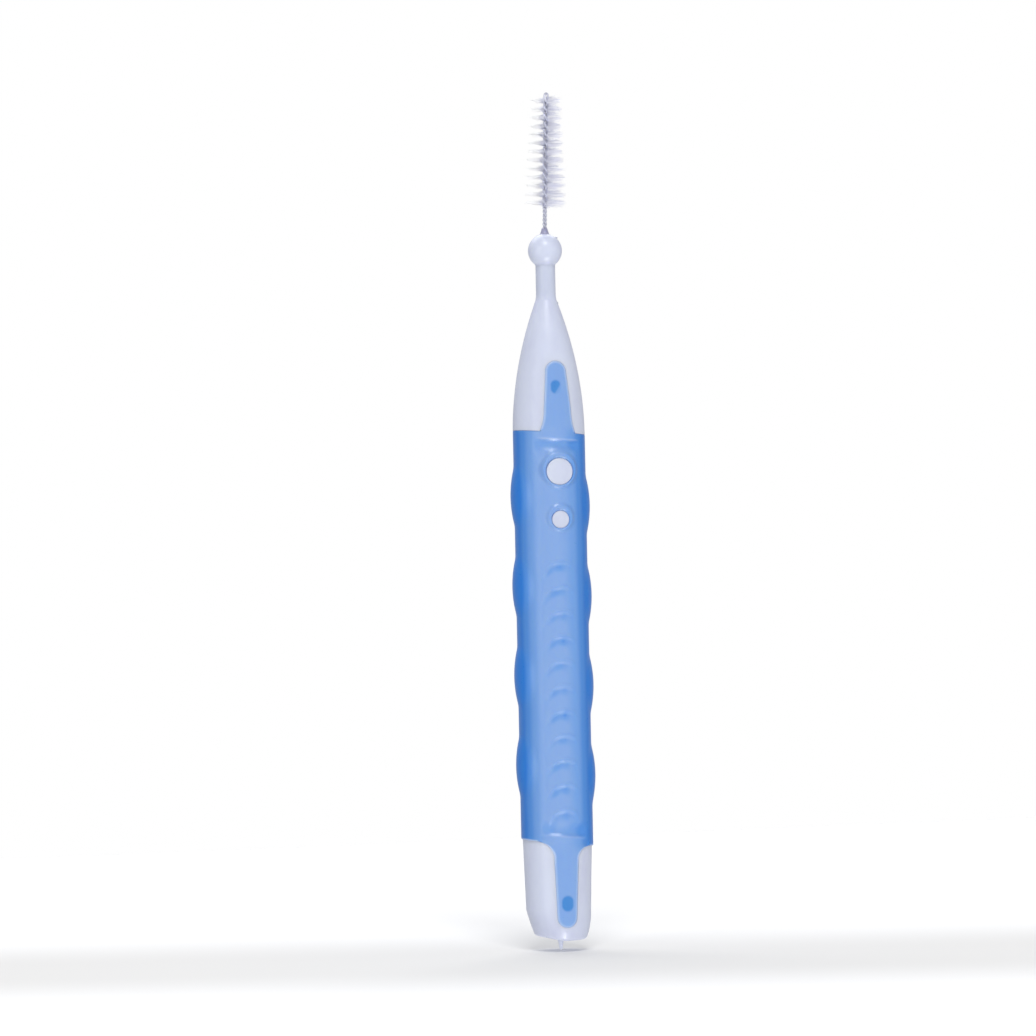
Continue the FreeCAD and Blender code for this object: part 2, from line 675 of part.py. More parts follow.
# The wire: one length folded at the tip, its two halves twisted on each other
def even_section(spot, course, radius, sides):
    """Section with even sides, square to a course."""
    aside = FreeCAD.Vector(0, 0, 1).cross(course).normalize()
    above = course.cross(aside)
    corners = []
    for number in range(sides + 1):
        turn = 2 * math.pi * number / sides
        corners.append(spot + aside * (radius * math.cos(turn)) + above * (radius * math.sin(turn)))
    return Part.makePolygon(corners)


def twist_angle(half_turns):
    """Angle of one strand after some half twists, which run left-handed."""
    return -math.pi * half_turns


def strand_points():
    """Places along one strand, from its tail to the last filament, in even steps of the twist."""
    runs_per_half_turn = int(measure("sizes.wire_runs_per_half_turn"))
    bulge = 1 / math.cos(twist_angle(0.5 / runs_per_half_turn))
    stem_offset = measure("sizes.strand_radius + sizes.stem_clearance / 2") * bulge
    field_offset = measure("sizes.strand_radius + sizes.filament_radius + sizes.filament_clearance") * bulge
    stem_runs = int(measure("sizes.stem_half_turns")) * runs_per_half_turn
    field_runs = int(measure("sizes.field_half_turns")) * runs_per_half_turn
    stem_rise = measure("sizes.stem_pitch / 2") / runs_per_half_turn
    field_rise = measure("sizes.field_pitch / 2") / runs_per_half_turn
    field_start = measure(f"{NIPPLE_END} + sizes.stem_bare_length")
    points = []
    for number in range(-stem_runs, field_runs + 1):
        offset = stem_offset if number < 0 else field_offset
        rise = stem_rise if number < 0 else field_rise
        around = twist_angle(number / runs_per_half_turn)
        height = field_start + number * rise
        points.append(FreeCAD.Vector(offset * math.cos(around), offset * math.sin(around), height))
    return points


def half_turned(point):
    """The same place on the other strand."""
    return FreeCAD.Vector(-point.x, -point.y, point.z)


def build_wire():
    """Model the wire as one unbroken tube: up one strand, round the fold and down the other."""
    rising = strand_points()
    falling = [half_turned(point) for point in reversed(rising)]
    top = rising[-1]
    aside = FreeCAD.Vector(top.x, top.y, 0)
    fold_runs = int(measure("sizes.wire_fold_runs"))
    fold = []
    for number in range(1, fold_runs):
        turn = math.pi * number / fold_runs
        lift = FreeCAD.Vector(0, 0, top.z + measure("sizes.loop_height") * math.sin(turn))
        fold.append(aside * math.cos(turn) + lift)
    path = Part.makePolygon(rising + fold + falling)
    radius = measure("sizes.strand_radius")
    sides = int(measure("sizes.strand_sides"))
    section = even_section(rising[0], (rising[1] - rising[0]).normalize(), radius, sides)
    square_corners = 1
    wire = doc.addObject("Part::Feature", "brush_wire")
    wire.Shape = path.makePipeShell([section], True, False, square_corners)
    wire.Placement = FreeCAD.Placement()
    gap = Part.makePolygon(rising).distToShape(Part.makePolygon(falling))[0] - 2 * radius
    even_volume = path.Length * Part.Face(section).Area
    print(f"wire: volume {wire.Shape.Volume:.4f}, section times length {even_volume:.4f}, gap {gap:.4f}")
    return wire


# The bristles: straight filaments caught between the strands, fanned out by the twist
def filament_solid(height, around, reach):
    """One filament through the axis of the wire, as a straight rod."""
    along = FreeCAD.Vector(math.cos(around), math.sin(around), 0)
    start = FreeCAD.Vector(0, 0, height) - along * reach
    sides = int(measure("sizes.filament_sides"))
    section = even_section(start, along, measure("sizes.filament_radius"), sides)
    return Part.Face(section).extrude(along * (2 * reach))


def build_bristles():
    """Model the filaments, one group of separate rods for each half twist."""
    bottom = measure(f"{NIPPLE_END} + sizes.stem_bare_length")
    step = measure("sizes.field_pitch / 2")
    turns = int(measure("sizes.field_half_turns"))
    per_turn = int(measure("sizes.filaments_per_half_turn"))
    low = measure("sizes.filament_reach_low")
    high = measure("sizes.filament_reach_high")
    groups = []
    for turn in range(turns):
        rods = []
        for number in range(per_turn):
            progress = turn + (number + 0.5) / per_turn
            reach = low + (high - low) * progress / turns
            rods.append(filament_solid(bottom + progress * step, twist_angle(progress + 0.5), reach))
        group = doc.addObject("Part::Feature", f"bristle_turn_{turn + 1:02d}")
        group.Shape = Part.makeCompound(rods)
        group.Placement = FreeCAD.Placement()
        groups.append(group)
    return groups


def confirm_document():
    """Stop where any object of the document has failed."""
    for item in doc.Objects:
        if "Invalid" in item.State or "Error" in item.State:
            raise RuntimeError(f"{item.Name} failed: {item.State}")


def write_parts(parts):
    """Check each piece and write it to its own file."""
    os.makedirs("parts", exist_ok=True)
    for part in parts:
        if part.Shape.isNull() or not part.Shape.isValid() or not part.Shape.Solids:
            raise RuntimeError(f"{part.Label} is no valid solid")
    for part in parts:
        part.Shape.exportStep(os.path.join("parts", f"{part.Label}.step"))
        print(f"{part.Label}: {len(part.Shape.Solids)} solid(s), {part.Shape.Volume:.3f} cubic mm")


handle_core = build_core()
grip_sleeve = build_sleeve(handle_core)
pieces = [handle_core, grip_sleeve, build_wire()] + build_bristles()
doc.recompute()
confirm_document()
write_parts(pieces)
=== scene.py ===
"""Looks of an interdental brush: a two-shot handle, a twisted wire and its bristles.

Sizes are in millimetres in the frame of the solids: the handle stands along Z with the bristles on
top, the origin is the middle of the soft grip, and the face with the pegs looks along -Y. Only the
finishes, the camera and the studio are in metres.
"""

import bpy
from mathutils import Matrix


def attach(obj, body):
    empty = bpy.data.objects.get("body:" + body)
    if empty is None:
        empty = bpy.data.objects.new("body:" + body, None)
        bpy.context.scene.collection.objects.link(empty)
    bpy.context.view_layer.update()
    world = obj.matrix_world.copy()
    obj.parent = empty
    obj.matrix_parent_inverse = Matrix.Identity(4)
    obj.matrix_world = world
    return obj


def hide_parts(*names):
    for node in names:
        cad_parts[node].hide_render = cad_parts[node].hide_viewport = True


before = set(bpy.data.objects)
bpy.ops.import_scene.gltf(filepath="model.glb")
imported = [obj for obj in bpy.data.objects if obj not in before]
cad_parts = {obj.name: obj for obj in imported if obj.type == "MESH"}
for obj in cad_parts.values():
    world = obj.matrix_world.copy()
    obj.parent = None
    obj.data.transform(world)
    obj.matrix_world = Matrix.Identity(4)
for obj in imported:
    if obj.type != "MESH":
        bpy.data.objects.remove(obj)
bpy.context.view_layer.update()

import logging
import math
from dataclasses import dataclass, field
from enum import Enum

import bmesh
import bpy
import numpy as np
from mathutils import Matrix, Vector

MM = 0.001
POLE = 0.02  # radius of the innermost ring of a turned face
OUT_OF_REACH = 99.0  # a distance past every edge
TOUCH = 1e-6  # slack of a comparison of heights
TINY = 1e-9  # keeps a divisor above zero
BODY = "root"
LOG = logging.getLogger("interdental_brush")
Array = np.ndarray
Socket = bpy.types.NodeSocket


class Face(Enum):
    """Face of the handle, as the sign of its outward Y."""

    FRONT = -1
    BACK = 1


class End(Enum):
    """End of the grip, as the sign of its Z."""

    UPPER = 1
    LOWER = -1


def smoothstep(low: float, high: float, value: Array) -> Array:
    """Ease from 0 at low to 1 at high."""
    share = np.clip((np.asarray(value, float) - low) / (high - low), 0.0, 1.0)
    return share * share * (3.0 - 2.0 * share)


def soft_max(first: Array, second: Array, blend: float) -> Array:
    """Larger of two heights, with the crease between them rounded over a blend."""
    gap = np.clip(0.5 + 0.5 * (first - second) / blend, 0.0, 1.0)
    return second + (first - second) * gap + blend * gap * (1.0 - gap)


def bell(offset: Array, spread: float) -> Array:
    """Bell curve that is 1 at no offset and fades over a spread."""
    return np.exp(-((offset / spread) ** 2))


def full_turn(count: int) -> Array:
    """Angles of points spaced evenly round a full turn."""
    return np.linspace(0.0, 2 * math.pi, count, endpoint=False)


def signed_turn(angle: Array) -> Array:
    """Angle from the middle of the front, negative on one side and positive on the other."""
    return (angle + math.pi) % (2 * math.pi) - math.pi


def face_share(angle: Array, gone: float, full: float) -> Array:
    """Share left of a mark on the front and the back, none and all of it at two given degrees."""
    low, high = math.cos(math.radians(gone)), math.cos(math.radians(full))
    return smoothstep(low, high, np.abs(np.cos(angle)))


@dataclass
class MeshWork:
    """Points and faces gathered from several sheets, to be made into one object."""

    points: list = field(default_factory=list)
    faces: list = field(default_factory=list)
    count: int = 0

    def add(self, points: Array) -> Array:
        """Add points.

        Args:
            points: coordinates in millimetres, with the last axis of length 3.
        Returns:
            Their numbers, in the shape of the points.
        """
        flat = np.asarray(points, float).reshape(-1, 3)
        numbers = np.arange(self.count, self.count + len(flat))
        self.points.append(flat)
        self.count += len(flat)
        return numbers.reshape(np.shape(points)[:-1])

    def quads(self, grid: Array, closed: bool = False) -> None:
        """Join a grid of numbered points by quads.

        Args:
            grid: numbers in rows and columns.
            closed: whether the last column meets the first.
        """
        if closed:
            grid = np.concatenate([grid, grid[:, :1]], axis=1)
        corners = (grid[:-1, :-1], grid[:-1, 1:], grid[1:, 1:], grid[1:, :-1])
        self.faces.append(np.stack(corners, axis=-1).reshape(-1, 4))

    def cap(self, ring: Array, middle: Array) -> None:
        """Close a ring of numbered points with triangles round a new middle point."""
        centre = np.full(len(ring), int(self.add(middle)))
        self.faces.append(np.stack([centre, ring, np.roll(ring, -1)], axis=-1))

    def tube(self, rings: Array, middles: tuple) -> None:
        """Join rings of points into a skin that is closed at both ends.

        Args:
            rings: coordinates in rows and columns, a row for each ring.
            middles: middle points that close the first and the last ring.
        """
        grid = self.add(rings)
        self.quads(grid, closed=True)
        for row, middle in zip((0, -1), middles):
            self.cap(grid[row], middle)

    def polygon(self, corners: list) -> None:
        """Add a single face, by the numbers of its corners."""
        self.faces.append(np.array([corners]))

    def build(self, name: str, weld: float = 1e-4) -> bpy.types.Object:
        """Make the object, with doubled points welded and all faces turned outward.

        Args:
            name: name of the piece.
            weld: points nearer than this become one, in millimetres.
        Returns:
            The new object, in metres, linked to the scene.
        """
        mesh = bpy.data.meshes.new(name)
        faces = [tuple(face) for block in self.faces for face in block.tolist()]
        mesh.from_pydata((np.concatenate(self.points) * MM).tolist(), [], faces)
        work = bmesh.new()
        work.from_mesh(mesh)
        bmesh.ops.remove_doubles(work, verts=work.verts, dist=weld * MM)
        bmesh.ops.dissolve_degenerate(work, dist=weld * MM, edges=work.edges)
        bmesh.ops.recalc_face_normals(work, faces=work.faces)
        work.to_mesh(mesh)
        work.free()
        mesh.polygons.foreach_set("use_smooth", np.ones(len(mesh.polygons), bool))
        piece = bpy.data.objects.new(name, mesh)
        bpy.context.scene.collection.objects.link(piece)
        return piece


def point_positions(mesh: bpy.types.Mesh) -> Array:
    """Read the points of a mesh.

    Args:
        mesh: mesh in metres.
    Returns:
        Coordinates in millimetres, a row for each point.
    """
    flat = np.empty(len(mesh.vertices) * 3)
    mesh.vertices.foreach_get("co", flat)
    return flat.reshape(-1, 3) / MM


def store_attribute(mesh: bpy.types.Mesh, name: str, values: Array) -> None:
    """Keep one number for each point of a mesh, for its material to read."""
    attribute = mesh.attributes.new(name, "FLOAT", "POINT")
    attribute.data.foreach_set("value", np.asarray(values, np.float32))


def dress(piece: bpy.types.Object, material: bpy.types.Material) -> None:
    """Give a piece its material and its body.

    Args:
        piece: piece of the brush.
        material: its material.
    """
    piece.data.materials.clear()
    piece.data.materials.append(material)
    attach(piece, BODY)


@dataclass(frozen=True)
class HandleProfile:
    """Outline of the handle, shared by the core and the sleeve."""

    grip_half: float = 21.7
    grip_radius: float = 3.85
    spine_radius: float = 2.9
    spine_half_width: float = 2.35
    nose_length: float = 14.4
    nose_fullness: float = 0.95
    neck_radius: float = 1.05
    butt_top: float = 3.69
    butt_draft: float = 0.27
    butt_draft_length: float = 9.3
    upper_slant: float = 0.08
    lower_slant: float = 0.115
    lower_drop: float = 0.42
    slant_spread: float = 2.6

    @property
    def nose_tip(self) -> float:
        """Height at which the nose runs into the neck."""
        return self.grip_half + self.nose_length

    def nose_radius(self, z: Array) -> Array:
        """Radius of the nose.

        Args:
            z: heights.
        Returns:
            The radius at each height.
        """
        share = np.clip((np.asarray(z, float) - self.grip_half) / self.nose_length, 0.0, 1.0)
        late = 1.0 - self.nose_fullness * (1.0 - share)
        return self.grip_radius - (self.grip_radius - self.neck_radius) * share * late

    def butt_radius(self, z: Array) -> Array:
        """Radius of the drafted stretch of the butt at a height."""
        share = (-self.grip_half - np.asarray(z, float)) / self.butt_draft_length
        return self.butt_top - self.butt_draft * np.clip(share, 0.0, 1.0)

    def slant_ends(self, mesh: bpy.types.Mesh) -> None:
        """Tilt the two ends of the grip a little, lower on the right, as the mould shuts them off.

        Args:
            mesh: mesh of the core or the sleeve, which is changed.
        """
        points = point_positions(mesh)
        x, z = points[:, 0], points[:, 2]
        near = bell(np.abs(z) - self.grip_half, self.slant_spread)
        lower = self.lower_slant * x + self.lower_drop
        points[:, 2] = z - near * np.where(z > 0, self.upper_slant * x, lower)
        mesh.vertices.foreach_set("co", (points * MM).ravel())


PROFILE = HandleProfile()


@dataclass(frozen=True)
class Tongue:
    """Outline of one tongue of the sleeve, and of the pocket in the core that it fills.

    The slot is where the soft plug goes through the core, and its cut is a corner that stays pale.
    """

    end: End
    length: float
    root: float
    waist: float
    tip: float
    flare: float
    floor: float
    slot_middle: float
    slot_half_width: float
    slot_length: float
    slot_shift: float
    slot_cut: float
    slot_blur_in: float = 0.16
    slot_blur_out: float = 0.12
    cut_loss: float = 0.8
    cut_blur: float = 0.2
    cut_slope: float = 0.7

    @property
    def side_end(self) -> float:
        """Distance from the sleeve's end at which the round end begins."""
        return self.length - self.tip

    def reach_at(self, z: Array) -> Array:
        """Distance from the sleeve's end to a height."""
        return self.end.value * z - PROFILE.grip_half

    def height_at(self, reach: Array) -> Array:
        """Height at a distance from the sleeve's end."""
        return self.end.value * (PROFILE.grip_half + reach)

    def half_width(self, reach: Array) -> Array:
        """Half width of the tongue.

        Args:
            reach: distances from the sleeve's end.
        Returns:
            The half width at each distance: flare, straight side and round end.
        """
        reach = np.asarray(reach, float)
        widening = self.root - self.waist
        flare_radius = (self.flare ** 2 + widening ** 2) / (2 * widening)
        left = np.clip(self.flare - reach, 0.0, self.flare)
        curved = self.waist + flare_radius - np.sqrt(flare_radius ** 2 - left ** 2)
        along = np.clip((reach - self.flare) / (self.side_end - self.flare), 0.0, 1.0)
        straight = self.waist + (self.tip - self.waist) * along
        beyond = np.clip(reach - self.side_end, 0.0, self.tip)
        rounded = np.sqrt(np.clip(self.tip ** 2 - beyond ** 2, 0.0, None))
        body = np.where(reach < self.flare, curved, straight)
        return np.where(reach > self.side_end, rounded, body)

    def reaches(self, rows: int) -> Array:
        """Distances from the sleeve's end for the rows of a mesh.

        Args:
            rows: number of rows on the sides.
        Returns:
            The distances, closer together towards the tip.
        """
        sides = np.linspace(0.0, self.side_end, rows)[:-1]
        turn = np.linspace(0.0, math.pi / 2, rows // 2)
        return np.concatenate([sides, self.side_end + self.tip * np.sin(turn)])

    def border_distance(self, x: Array, reach: Array) -> Array:
        """Distance from a spot on the tongue to its nearest border.

        Args:
            x: places across the tongue.
            reach: distances from the sleeve's end.
        Returns:
            The distance for each spot, and 0 past the border.
        """
        sideways = self.half_width(np.minimum(reach, self.side_end)) - np.abs(x)
        round_end = self.tip - np.hypot(x, np.asarray(reach) - self.side_end)
        return np.clip(np.where(reach > self.side_end, round_end, sideways), 0.0, None)

    def slot_depth(self, x: Array, reach: Array) -> Array:
        """How far inside the soft plug's outline a spot lies.

        Args:
            x: places across the tongue.
            reach: distances from the sleeve's end.
        Returns:
            1 well inside, 0 outside, and little in the corner that the cut takes off.
        """
        straight = self.slot_length / 2 - self.slot_half_width
        aside = np.asarray(x) - self.slot_shift
        rise = np.asarray(reach) - self.slot_middle
        away = np.hypot(aside, rise - np.clip(rise, -straight, straight))
        border = self.slot_half_width
        inside = 1.0 - smoothstep(border - self.slot_blur_in, border + self.slot_blur_out, away)
        corner = aside - self.cut_slope * rise
        lost = smoothstep(self.slot_cut - self.cut_blur, self.slot_cut + self.cut_blur, corner)
        return inside * (1.0 - self.cut_loss * lost)


UPPER_TONGUE = Tongue(
    end=End.UPPER, length=7.6, root=1.98, waist=1.5, tip=1.16, flare=2.5, floor=2.3,
    slot_middle=4.8, slot_half_width=0.56, slot_length=1.5, slot_shift=-0.15, slot_cut=0.35,
)
LOWER_TONGUE = Tongue(
    end=End.LOWER, length=9.35, root=2.75, waist=1.37, tip=1.1, flare=1.75, floor=2.5,
    slot_middle=6.76, slot_half_width=0.66, slot_length=1.7, slot_shift=0.0, slot_cut=2.0,
)
TONGUES = (UPPER_TONGUE, LOWER_TONGUE)


@dataclass(frozen=True)
class Peg:
    """Round peg of the core that shows through the sleeve."""

    radius: float
    height: float


PEGS = (Peg(radius=1.43, height=17.5), Peg(radius=0.94, height=12.4))


@dataclass(frozen=True)
class Grain:
    """Unevenness of a finish: waves a metre, finer layers and the factor on each coordinate."""

    scale: float
    detail: float = 3.0
    stretch: tuple = (1.0, 1.0, 1.0)


@dataclass(frozen=True)
class Relief:
    """Fine roughness of a surface: its grain, its depth in metres and how strongly it shows."""

    grain: Grain
    depth: float
    strength: float


class NodeBench:
    """Adds and joins the shader nodes of one material."""

    def __init__(self, name: str) -> None:
        """Start a material with a principled shader.

        Args:
            name: name of the material.
        """
        self.material = bpy.data.materials.new(name)
        self.material.use_nodes = True
        self.tree = self.material.node_tree
        self.shader = self.tree.nodes["Principled BSDF"]

    def node(self, kind: str, **settings: object) -> bpy.types.Node:
        """Add a node.

        Args:
            kind: kind of the node.
            settings: its properties.
        Returns:
            The new node.
        """
        made = self.tree.nodes.new(kind)
        for name, value in settings.items():
            setattr(made, name, value)
        return made

    def feed(self, socket: Socket, value: object) -> None:
        """Join an input to an output, or give it a plain value.

        Args:
            socket: input of a node.
            value: output of a node, a number, a vector or a colour of three numbers.
        """
        if isinstance(value, Socket):
            self.tree.links.new(value, socket)
        else:
            socket.default_value = (*value, 1.0) if socket.type == "RGBA" else value

    def settle(self, inputs: dict) -> bpy.types.Material:
        """Give the shader its inputs.

        Args:
            inputs: what goes into each input of the shader, by its name.
        Returns:
            The finished material.
        """
        for name, value in inputs.items():
            self.feed(self.shader.inputs[name], value)
        return self.material

    def number(self, operation: str, first: object, second: object) -> Socket:
        """Work out a sum of two numbers.

        Args:
            operation: kind of sum.
            first: an output or a plain number.
            second: an output or a plain number.
        Returns:
            The result's socket.
        """
        made = self.node("ShaderNodeMath", operation=operation)
        self.feed(made.inputs[0], first)
        self.feed(made.inputs[1], second)
        return made.outputs[0]

    def noise(self, grain: Grain) -> Socket:
        """Add a noise over the object's own coordinates.

        Args:
            grain: size and layers of the noise.
        Returns:
            The noise's factor.
        """
        place = self.node("ShaderNodeTexCoord")
        mapping = self.node("ShaderNodeMapping")
        made = self.node("ShaderNodeTexNoise")
        self.feed(mapping.inputs["Vector"], place.outputs["Object"])
        self.feed(mapping.inputs["Scale"], grain.stretch)
        self.feed(made.inputs["Vector"], mapping.outputs["Vector"])
        self.feed(made.inputs["Scale"], grain.scale)
        self.feed(made.inputs["Detail"], grain.detail)
        return made.outputs["Fac"]

    def attribute(self, name: str) -> Socket:
        """Read a number kept on the mesh."""
        return self.node("ShaderNodeAttribute", attribute_name=name).outputs["Fac"]

    def ramp(self, factor: Socket, stops: tuple) -> Socket:
        """Turn a factor into a colour.

        Args:
            factor: socket with the factor.
            stops: pairs of place and colour.
        Returns:
            The colour's socket.
        """
        made = self.node("ShaderNodeValToRGB")
        made.color_ramp.interpolation = "EASE"
        while len(made.color_ramp.elements) < len(stops):
            made.color_ramp.elements.new(0.5)
        for element, (place, colour) in zip(made.color_ramp.elements, stops):
            element.position = place
            element.color = (*colour, 1.0)
        self.feed(made.inputs["Fac"], factor)
        return made.outputs["Color"]

    def blend(self, factor: Socket, first: object, second: object) -> Socket:
        """Mix two colours.

        Args:
            factor: share of the second colour.
            first: an output or a plain colour.
            second: an output or a plain colour.
        Returns:
            The colour's socket.
        """
        made = self.node("ShaderNodeMix", data_type="RGBA", blend_type="MIX")
        for place, value in zip((0, 6, 7), (factor, first, second)):
            self.feed(made.inputs[place], value)
        return made.outputs[2]

    def spread(self, factor: Socket, ends: tuple) -> Socket:
        """Spread a factor from 0 to 1 over another range.

        Args:
            factor: socket with the factor.
            ends: low and high end of the new range.
        Returns:
            The result's socket.
        """
        made = self.node("ShaderNodeMapRange")
        self.feed(made.inputs["Value"], factor)
        self.feed(made.inputs["To Min"], ends[0])
        self.feed(made.inputs["To Max"], ends[1])
        return made.outputs["Result"]

    def bump(self, relief: Relief) -> Socket:
        """Roughen the surface.

        Args:
            relief: roughness of the surface.
        Returns:
            The direction of the roughened surface.
        """
        made = self.node("ShaderNodeBump")
        self.feed(made.inputs["Height"], self.noise(relief.grain))
        self.feed(made.inputs["Distance"], relief.depth)
        self.feed(made.inputs["Strength"], relief.strength)
        return made.outputs["Normal"]


@dataclass(frozen=True)
class MilkyPlastic:
    """White moulded plastic of the core, faintly lilac and slightly translucent."""

    colour: tuple = (0.63, 0.67, 0.80)
    shade: tuple = (0.57, 0.60, 0.745)
    # Painted shade on the small nipple on top of the ball.
    nipple_painted_shade: tuple = (0.33, 0.33, 0.47)
    # Painted shade: colour of the neck below the ball and of the gaps round the pegs.
    hollow: tuple = (0.36, 0.41, 0.50)
    cloud: Grain = Grain(260.0, 4.0, (1.0, 1.0, 0.45))
    cloud_places: tuple = (0.3, 0.62)
    gloss: Grain = Grain(5200.0, 2.0)
    roughness: tuple = (0.25, 0.39)
    relief: Relief = Relief(Grain(2600.0), 0.00001, 0.35)
    scatter: float = 0.35
    scatter_radius: tuple = (1.0, 0.95, 1.1)
    scatter_scale: float = 0.0009
    index: float = 1.49

    def material(self) -> bpy.types.Material:
        """Make the material.

        Returns:
            The material, which reads the painted shade on the neck, in the gaps round the pegs and on
            the nipple.
        """
        bench = NodeBench("milky_plastic")
        stops = tuple(zip(self.cloud_places, (self.shade, self.colour)))
        tint = bench.ramp(bench.noise(self.cloud), stops)
        # Painted shade on the neck and round the pegs, then painted shade on the nipple.
        shaded = bench.blend(bench.attribute("painted_shade"), tint, self.hollow)
        return bench.settle({
            "Base Color": bench.blend(bench.attribute("collar"), shaded, self.nipple_painted_shade),
            "Roughness": bench.spread(bench.noise(self.gloss), self.roughness),
            "Normal": bench.bump(self.relief),
            "Subsurface Weight": self.scatter,
            "Subsurface Radius": self.scatter_radius,
            "Subsurface Scale": self.scatter_scale,
            "IOR": self.index,
        })


@dataclass(frozen=True)
class TintedElastomer:
    """Blue see-through elastomer of the sleeve, pale where it is thin and deep where it is thick."""

    thin: tuple = (0.232, 0.388, 0.715)
    middle: tuple = (0.155, 0.335, 0.705)
    full: tuple = (0.075, 0.262, 0.680)
    thick: tuple = (0.016, 0.190, 0.640)
    plug: tuple = (0.060, 0.245, 0.610)
    # Colour of the painted highlights and of the pale tongue borders.
    edge: tuple = (0.560, 0.660, 0.870)
    depth_places: tuple = (0.02, 0.35, 0.65, 1.0)
    cloud: Grain = Grain(330.0, 3.0, (1.0, 1.0, 0.4))
    cloud_share: tuple = (-0.05, 0.05)
    gloss: Grain = Grain(4200.0, 2.0)
    roughness: tuple = (0.23, 0.39)
    relief: Relief = Relief(Grain(1500.0, 4.0), 0.00002, 0.4)
    scatter: float = 0.25
    scatter_radius: tuple = (0.35, 0.6, 1.2)
    scatter_scale: float = 0.0006
    index: float = 1.45

    def material(self) -> bpy.types.Material:
        """Make the material.

        Returns:
            The material, which reads each point's depth with its painted shade, its plug and its painted
            highlights.
        """
        bench = NodeBench("tinted_elastomer")
        cloud = bench.spread(bench.noise(self.cloud), self.cloud_share)
        seen = bench.number("ADD", bench.attribute("depth"), cloud)
        stops = tuple(zip(self.depth_places, (self.thin, self.middle, self.full, self.thick)))
        plugged = bench.blend(bench.attribute("plug"), bench.ramp(seen, stops), self.plug)
        return bench.settle({
            "Base Color": bench.blend(bench.attribute("rim"), plugged, self.edge),
            "Roughness": bench.spread(bench.noise(self.gloss), self.roughness),
            "Normal": bench.bump(self.relief),
            "Subsurface Weight": self.scatter,
            "Subsurface Radius": self.scatter_radius,
            "Subsurface Scale": self.scatter_scale,
            "IOR": self.index,
        })


@dataclass(frozen=True)
class DrawnSteel:
    """Drawn steel of the wire, with fine lines along the strand."""

    colour: tuple = (0.88, 0.89, 0.99)
    shade: tuple = (0.66, 0.67, 0.80)
    bare: tuple = (0.40, 0.41, 0.50)
    line_places: tuple = (0.3, 0.65)
    roughness: tuple = (0.24, 0.40)
    relief: Relief = Relief(Grain(9000.0, 3.0, (1.0, 1.0, 0.15)), 0.000004, 0.3)
    metal: float = 0.1

    def material(self) -> bpy.types.Material:
        """Make the material.

        Returns:
            The material, which reads how bare of filaments each point is.
        """
        bench = NodeBench("drawn_steel")
        lines = bench.noise(self.relief.grain)
        pale = bench.ramp(lines, tuple(zip(self.line_places, (self.shade, self.colour))))
        return bench.settle({
            "Base Color": bench.blend(bench.attribute("bare"), pale, self.bare),
            "Roughness": bench.spread(lines, self.roughness),
            "Normal": bench.bump(self.relief),
            "Metallic": self.metal,
        })


@dataclass(frozen=True)
class ClearNylon:
    """Nearly white see-through nylon of the filaments."""

    # Painted shade at the roots by the wire, painted light at the tips.
    root: tuple = (0.79, 0.80, 0.90)
    tip: tuple = (0.985, 0.985, 0.995)
    pale_places: tuple = (0.1, 0.9)
    cloud: Grain = Grain(1800.0, 2.0)
    cloud_share: tuple = (-0.1, 0.1)
    gloss: Grain = Grain(7000.0, 2.0)
    roughness: tuple = (0.28, 0.42)
    relief: Relief = Relief(Grain(12000.0, 2.0), 0.000003, 0.2)
    clearness: float = 0.8
    index: float = 1.15

    def material(self) -> bpy.types.Material:
        """Make the material.

        Returns:
            The material, which reads the painted light and shade on each point.
        """
        bench = NodeBench("clear_nylon")
        cloud = bench.spread(bench.noise(self.cloud), self.cloud_share)
        seen = bench.number("ADD", bench.attribute("painted_light"), cloud)
        return bench.settle({
            "Base Color": bench.ramp(seen, tuple(zip(self.pale_places, (self.root, self.tip)))),
            "Roughness": bench.spread(bench.noise(self.gloss), self.roughness),
            "Normal": bench.bump(self.relief),
            "Transmission Weight": self.clearness,
            "IOR": self.index,
        })


@dataclass(frozen=True)
class StudioWhite:
    """Pale floor with a painted shadow: a soft darker band where the object stands."""

    colour: tuple = (0.93, 0.93, 0.93)
    # Colour of the painted shadow under the object.
    painted_shadow: tuple = (0.76, 0.755, 0.745)
    toward: tuple = (-0.2756, -0.9613, 0.0)
    reach: float = 0.12
    band_places: tuple = (0.25, 0.54, 0.66, 0.92)
    relief: Relief = Relief(Grain(900.0, 2.0), 0.00002, 0.1)
    roughness: float = 0.75
    gloss: float = 0.1

    def material(self) -> bpy.types.Material:
        """Make the material.

        Returns:
            The material, with the painted shadow's band across the line of sight.
        """
        bench = NodeBench("studio_white")
        place = bench.node("ShaderNodeTexCoord")
        ahead = bench.node("ShaderNodeVectorMath", operation="DOT_PRODUCT")
        bench.feed(ahead.inputs[0], place.outputs["Object"])
        bench.feed(ahead.inputs[1], self.toward)
        scaled = bench.number("MULTIPLY", ahead.outputs["Value"], 1.0 / self.reach)
        colours = (self.colour, self.painted_shadow, self.painted_shadow, self.colour)
        stops = tuple(zip(self.band_places, colours))
        return bench.settle({
            "Base Color": bench.ramp(bench.number("ADD", scaled, 0.5), stops),
            "Roughness": self.roughness,
            "Normal": bench.bump(self.relief),
            "Specular IOR Level": self.gloss,
        })


@dataclass(frozen=True)
class Taper:
    """How one side of the butt is drawn in: where it starts, how far it goes and how late."""

    start: float
    inward: float
    power: float


@dataclass(frozen=True)
class FlashSpeck:
    """Small lump of mould flash: its middle and its half sizes."""

    place: tuple
    size: tuple


